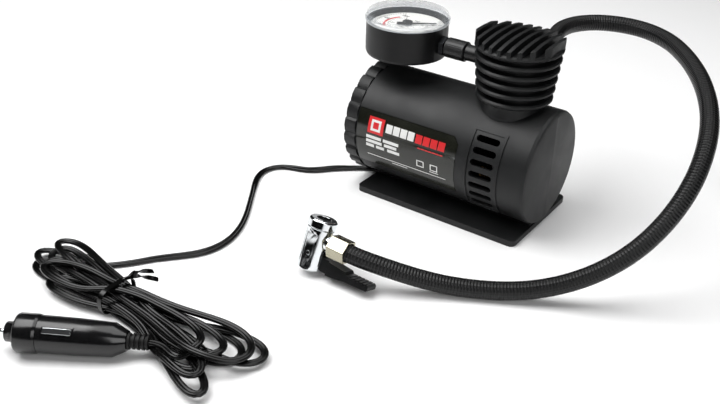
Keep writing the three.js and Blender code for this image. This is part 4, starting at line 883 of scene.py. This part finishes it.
def tickTree():
    # ticks stand on an arc, and the main ones among them are longer
    tree = bpy.data.node_groups.new("dialTicks", "GeometryNodeTree")
    tree.interface.new_socket("Geometry", in_out="OUTPUT", socket_type="NodeSocketGeometry")
    kinds = {
        "Count": "Int", "Radius": "Float", "Start": "Float", "Sweep": "Float", "Short": "Float",
        "Long": "Float", "Thick": "Float", "Every": "Int", "Ink": "Material",
    }
    for name, kind in kinds.items():
        tree.interface.new_socket(name, in_out="INPUT", socket_type="NodeSocket" + kind)
    group = addNode(tree, "NodeGroupInput")
    size = group.outputs
    total = addNode(tree, "ShaderNodeMath", {0: size["Count"], 1: 1.0}, operation="ADD").outputs[0]
    line = addNode(tree, "GeometryNodeMeshLine", {"Count": total, "Offset": (0, 0, 0)})
    index = addNode(tree, "GeometryNodeInputIndex").outputs[0]
    share = addNode(tree, "ShaderNodeMath", {0: index, 1: size["Count"]}, operation="DIVIDE").outputs[0]
    turn = addNode(tree, "ShaderNodeMath", {0: share, 1: size["Sweep"]}, operation="MULTIPLY").outputs[0]
    angle = addNode(tree, "ShaderNodeMath", {0: size["Start"], 1: turn}, operation="SUBTRACT").outputs[0]
    cosine = addNode(tree, "ShaderNodeMath", {0: angle}, operation="COSINE").outputs[0]
    sine = addNode(tree, "ShaderNodeMath", {0: angle}, operation="SINE").outputs[0]
    rest = addNode(tree, "ShaderNodeMath", {0: index, 1: size["Every"]}, operation="MODULO").outputs[0]
    main = addNode(tree, "ShaderNodeMath", {0: rest, 1: 0.5}, operation="LESS_THAN").outputs[0]
    extra = addNode(
        tree, "ShaderNodeMath", {0: size["Long"], 1: size["Short"]}, operation="SUBTRACT").outputs[0]
    reach = addNode(
        tree, "ShaderNodeMath", {0: main, 1: extra, 2: size["Short"]}, operation="MULTIPLY_ADD").outputs[0]
    half = addNode(
        tree, "ShaderNodeMath", {0: reach, 1: -0.5, 2: size["Radius"]}, operation="MULTIPLY_ADD").outputs[0]
    x = addNode(tree, "ShaderNodeMath", {0: cosine, 1: half}, operation="MULTIPLY").outputs[0]
    y = addNode(tree, "ShaderNodeMath", {0: sine, 1: half}, operation="MULTIPLY").outputs[0]
    place = addNode(tree, "ShaderNodeCombineXYZ", {0: x, 1: y}).outputs[0]
    spin = addNode(tree, "ShaderNodeCombineXYZ", {2: angle}).outputs[0]
    stretch = addNode(tree, "ShaderNodeCombineXYZ", {0: reach, 1: size["Thick"], 2: 0.00008}).outputs[0]
    cube = addNode(tree, "GeometryNodeMeshCube", {"Size": (1, 1, 1)})
    moved = addNode(tree, "GeometryNodeSetPosition", {"Geometry": line.outputs[0], "Position": place})
    copies = addNode(tree, "GeometryNodeInstanceOnPoints", {
        "Points": moved.outputs[0], "Instance": cube.outputs[0], "Rotation": spin, "Scale": stretch})
    solid = addNode(tree, "GeometryNodeRealizeInstances", {"Geometry": copies.outputs[0]})
    inked = addNode(tree, "GeometryNodeSetMaterial", {"Geometry": solid.outputs[0], "Material": size["Ink"]})
    addNode(tree, "NodeGroupOutput", {0: inked.outputs[0]})
    return tree


def bakeTree(name, tree, values):
    holder = bpy.data.objects.new(name + "Maker", bpy.data.meshes.new(name + "Maker"))
    scene.collection.objects.link(holder)
    modifier = holder.modifiers.new("maker", "NODES")
    modifier.node_group = tree
    for item in tree.interface.items_tree:
        if item.item_type == "SOCKET" and item.in_out == "INPUT" and item.name in values:
            modifier[item.identifier] = values[item.name]
    bpy.context.view_layer.update()
    mesh = bpy.data.meshes.new_from_object(holder.evaluated_get(bpy.context.evaluated_depsgraph_get()))
    bpy.data.objects.remove(holder)
    return mesh


def letterMesh(words, sizeMm):
    curve = bpy.data.curves.new("dialText", "FONT")
    curve.body = words
    curve.size = sizeMm * mm
    curve.align_x = "CENTER"
    curve.align_y = "CENTER"
    curve.extrude = 0.04 * mm
    holder = bpy.data.objects.new("dialText", curve)
    scene.collection.objects.link(holder)
    bpy.context.view_layer.update()
    mesh = bpy.data.meshes.new_from_object(holder.evaluated_get(bpy.context.evaluated_depsgraph_get()))
    bpy.data.objects.remove(holder)
    return mesh


def arcBand(points, faces, start, end, inner, outer, low, high, plan):
    steps = max(4, round(abs(end - start) / 3))
    cx, cy = plan["centre"]
    for i in range(steps + 1):
        angle = math.radians(plan["zeroAngle"] - (start + (end - start) * i / steps))
        for r, z in ((inner, low), (inner, high), (outer, high), (outer, low)):
            points.append(Vector((cx + r * math.cos(angle), cy + r * math.sin(angle), z)) * mm)
    strapFaces(points, faces, steps)


def makeDial(plan):
    tree = tickTree()
    cx, cy = plan["centre"]
    lift = Matrix.Translation(Vector((cx, cy, plan["face"] + 0.05)) * mm)
    work = bmesh.new()
    for count, radius, short, long, thick, every in plan["scales"]:
        mesh = bakeTree("ticks", tree, {
            "Count": count, "Radius": radius * mm, "Start": math.radians(plan["zeroAngle"]),
            "Sweep": math.radians(plan["sweep"]), "Short": short * mm, "Long": long * mm,
            "Thick": thick * mm, "Every": every, "Ink": mat["inkBlack"],
        })
        mesh.transform(lift)
        work.from_mesh(mesh)
    face = math.radians(plan["upAngle"] - 90)
    marks = []
    for numbers, radius, size in plan["numbers"]:
        for k, words in enumerate(numbers):
            angle = math.radians(plan["zeroAngle"] - plan["sweep"] * k / (len(numbers) - 1))
            marks.append((words, radius, angle, size))
    for words, away, size in plan["units"]:
        marks.append((words, away, math.radians(plan["upAngle"] + 180), size))
    for words, radius, angle, size in marks:
        mesh = letterMesh(words, size)
        x, y = cx + radius * math.cos(angle), cy + radius * math.sin(angle)
        spot = Vector((x, y, plan["face"] + 0.06)) * mm
        mesh.transform(Matrix.Translation(spot) @ Matrix.Rotation(face, 4, "Z"))
        work.from_mesh(mesh)
    mesh = bpy.data.meshes.new("dialPrint")
    work.to_mesh(mesh)
    work.free()
    mesh.materials.clear()
    mesh.materials.append(mat["inkBlack"])
    for polygon in mesh.polygons:
        polygon.material_index = 0
    link(bpy.data.objects.new("dialPrint", mesh), "housing")
    points, faces = [], []
    low, high = plan["face"] - 0.1, plan["face"] + 0.1
    arcBand(points, faces, *plan["redBand"], low, high, plan)
    band = meshPiece("dialRedBand", points, faces, mat["inkRed"], 40)
    link(band, "housing")


makeDial(dialPlan)
print("dial drawn")


# studio: pale floor against an even pale backdrop, three soft lights

studioPlan = {
    "floor": "f6f6f6",
    "floorHalf": 4.0,
    "world": 1.0,
    "horizon": 0.1,
    "backdrop": 0.9,
    "aim": (0, -0.08, 0.04),
    # each light: name, place and width in metres, power in watts
    "lights": [
        ("keyLight", (-0.45, -0.35, 0.85), 0.7, 9.0),
        ("fillLight", (0.75, -0.55, 0.55), 0.6, 3.5),
        ("topLight", (0.0, 0.2, 1.15), 1.0, 9.0),
    ],
}


def makeStudio(plan):
    # matt white paper, with a faint fibre in its gloss
    material, tree, shader = startMaterial("paperFloor", plan["floor"], 0.85)
    fibre = grain(tree, objectPlace(tree), 3)
    tree.links.new(spread(tree, fibre, 0.8, 0.9), shader.inputs["Roughness"])
    mesh = bpy.data.meshes.new("studioFloor")
    half = plan["floorHalf"]
    corners = [(-half, -half, 0), (half, -half, 0), (half, half, 0), (-half, half, 0)]
    mesh.from_pydata(corners, [], [(0, 1, 2, 3)])
    mesh.materials.append(material)
    floor = bpy.data.objects.new("studioFloor", mesh)
    scene.collection.objects.link(floor)
    # the sky is dark near the horizon and bright overhead, and the camera sees an even backdrop
    world = bpy.data.worlds.new("studioWorld")
    world.use_nodes = True
    sky = world.node_tree
    outward = addNode(sky, "ShaderNodeTexCoord").outputs["Generated"]
    lookUp = addNode(sky, "ShaderNodeSeparateXYZ", {0: outward}).outputs[2]
    glow = addNode(sky, "ShaderNodeMapRange", {
        "Value": lookUp, "From Min": 0.2, "From Max": 0.7,
        "To Min": plan["horizon"], "To Max": plan["world"]}).outputs[0]
    seen = addNode(sky, "ShaderNodeLightPath").outputs["Is Camera Ray"]
    shown = addNode(sky, "ShaderNodeMix", {0: seen, 2: glow, 3: plan["backdrop"]}).outputs[0]
    sky.links.new(shown, sky.nodes["Background"].inputs["Strength"])
    scene.world = world
    for name, place, width, power in plan["lights"]:
        data = bpy.data.lights.new(name, "AREA")
        data.size = width
        data.energy = power
        lamp = bpy.data.objects.new(name, data)
        lamp.location = place
        aim = Vector(plan["aim"]) - Vector(place)
        lamp.rotation_euler = aim.to_track_quat("-Z", "Y").to_euler()
        scene.collection.objects.link(lamp)
    scene.view_settings.view_transform = "Standard"


makeStudio(studioPlan)
print("studio lit")
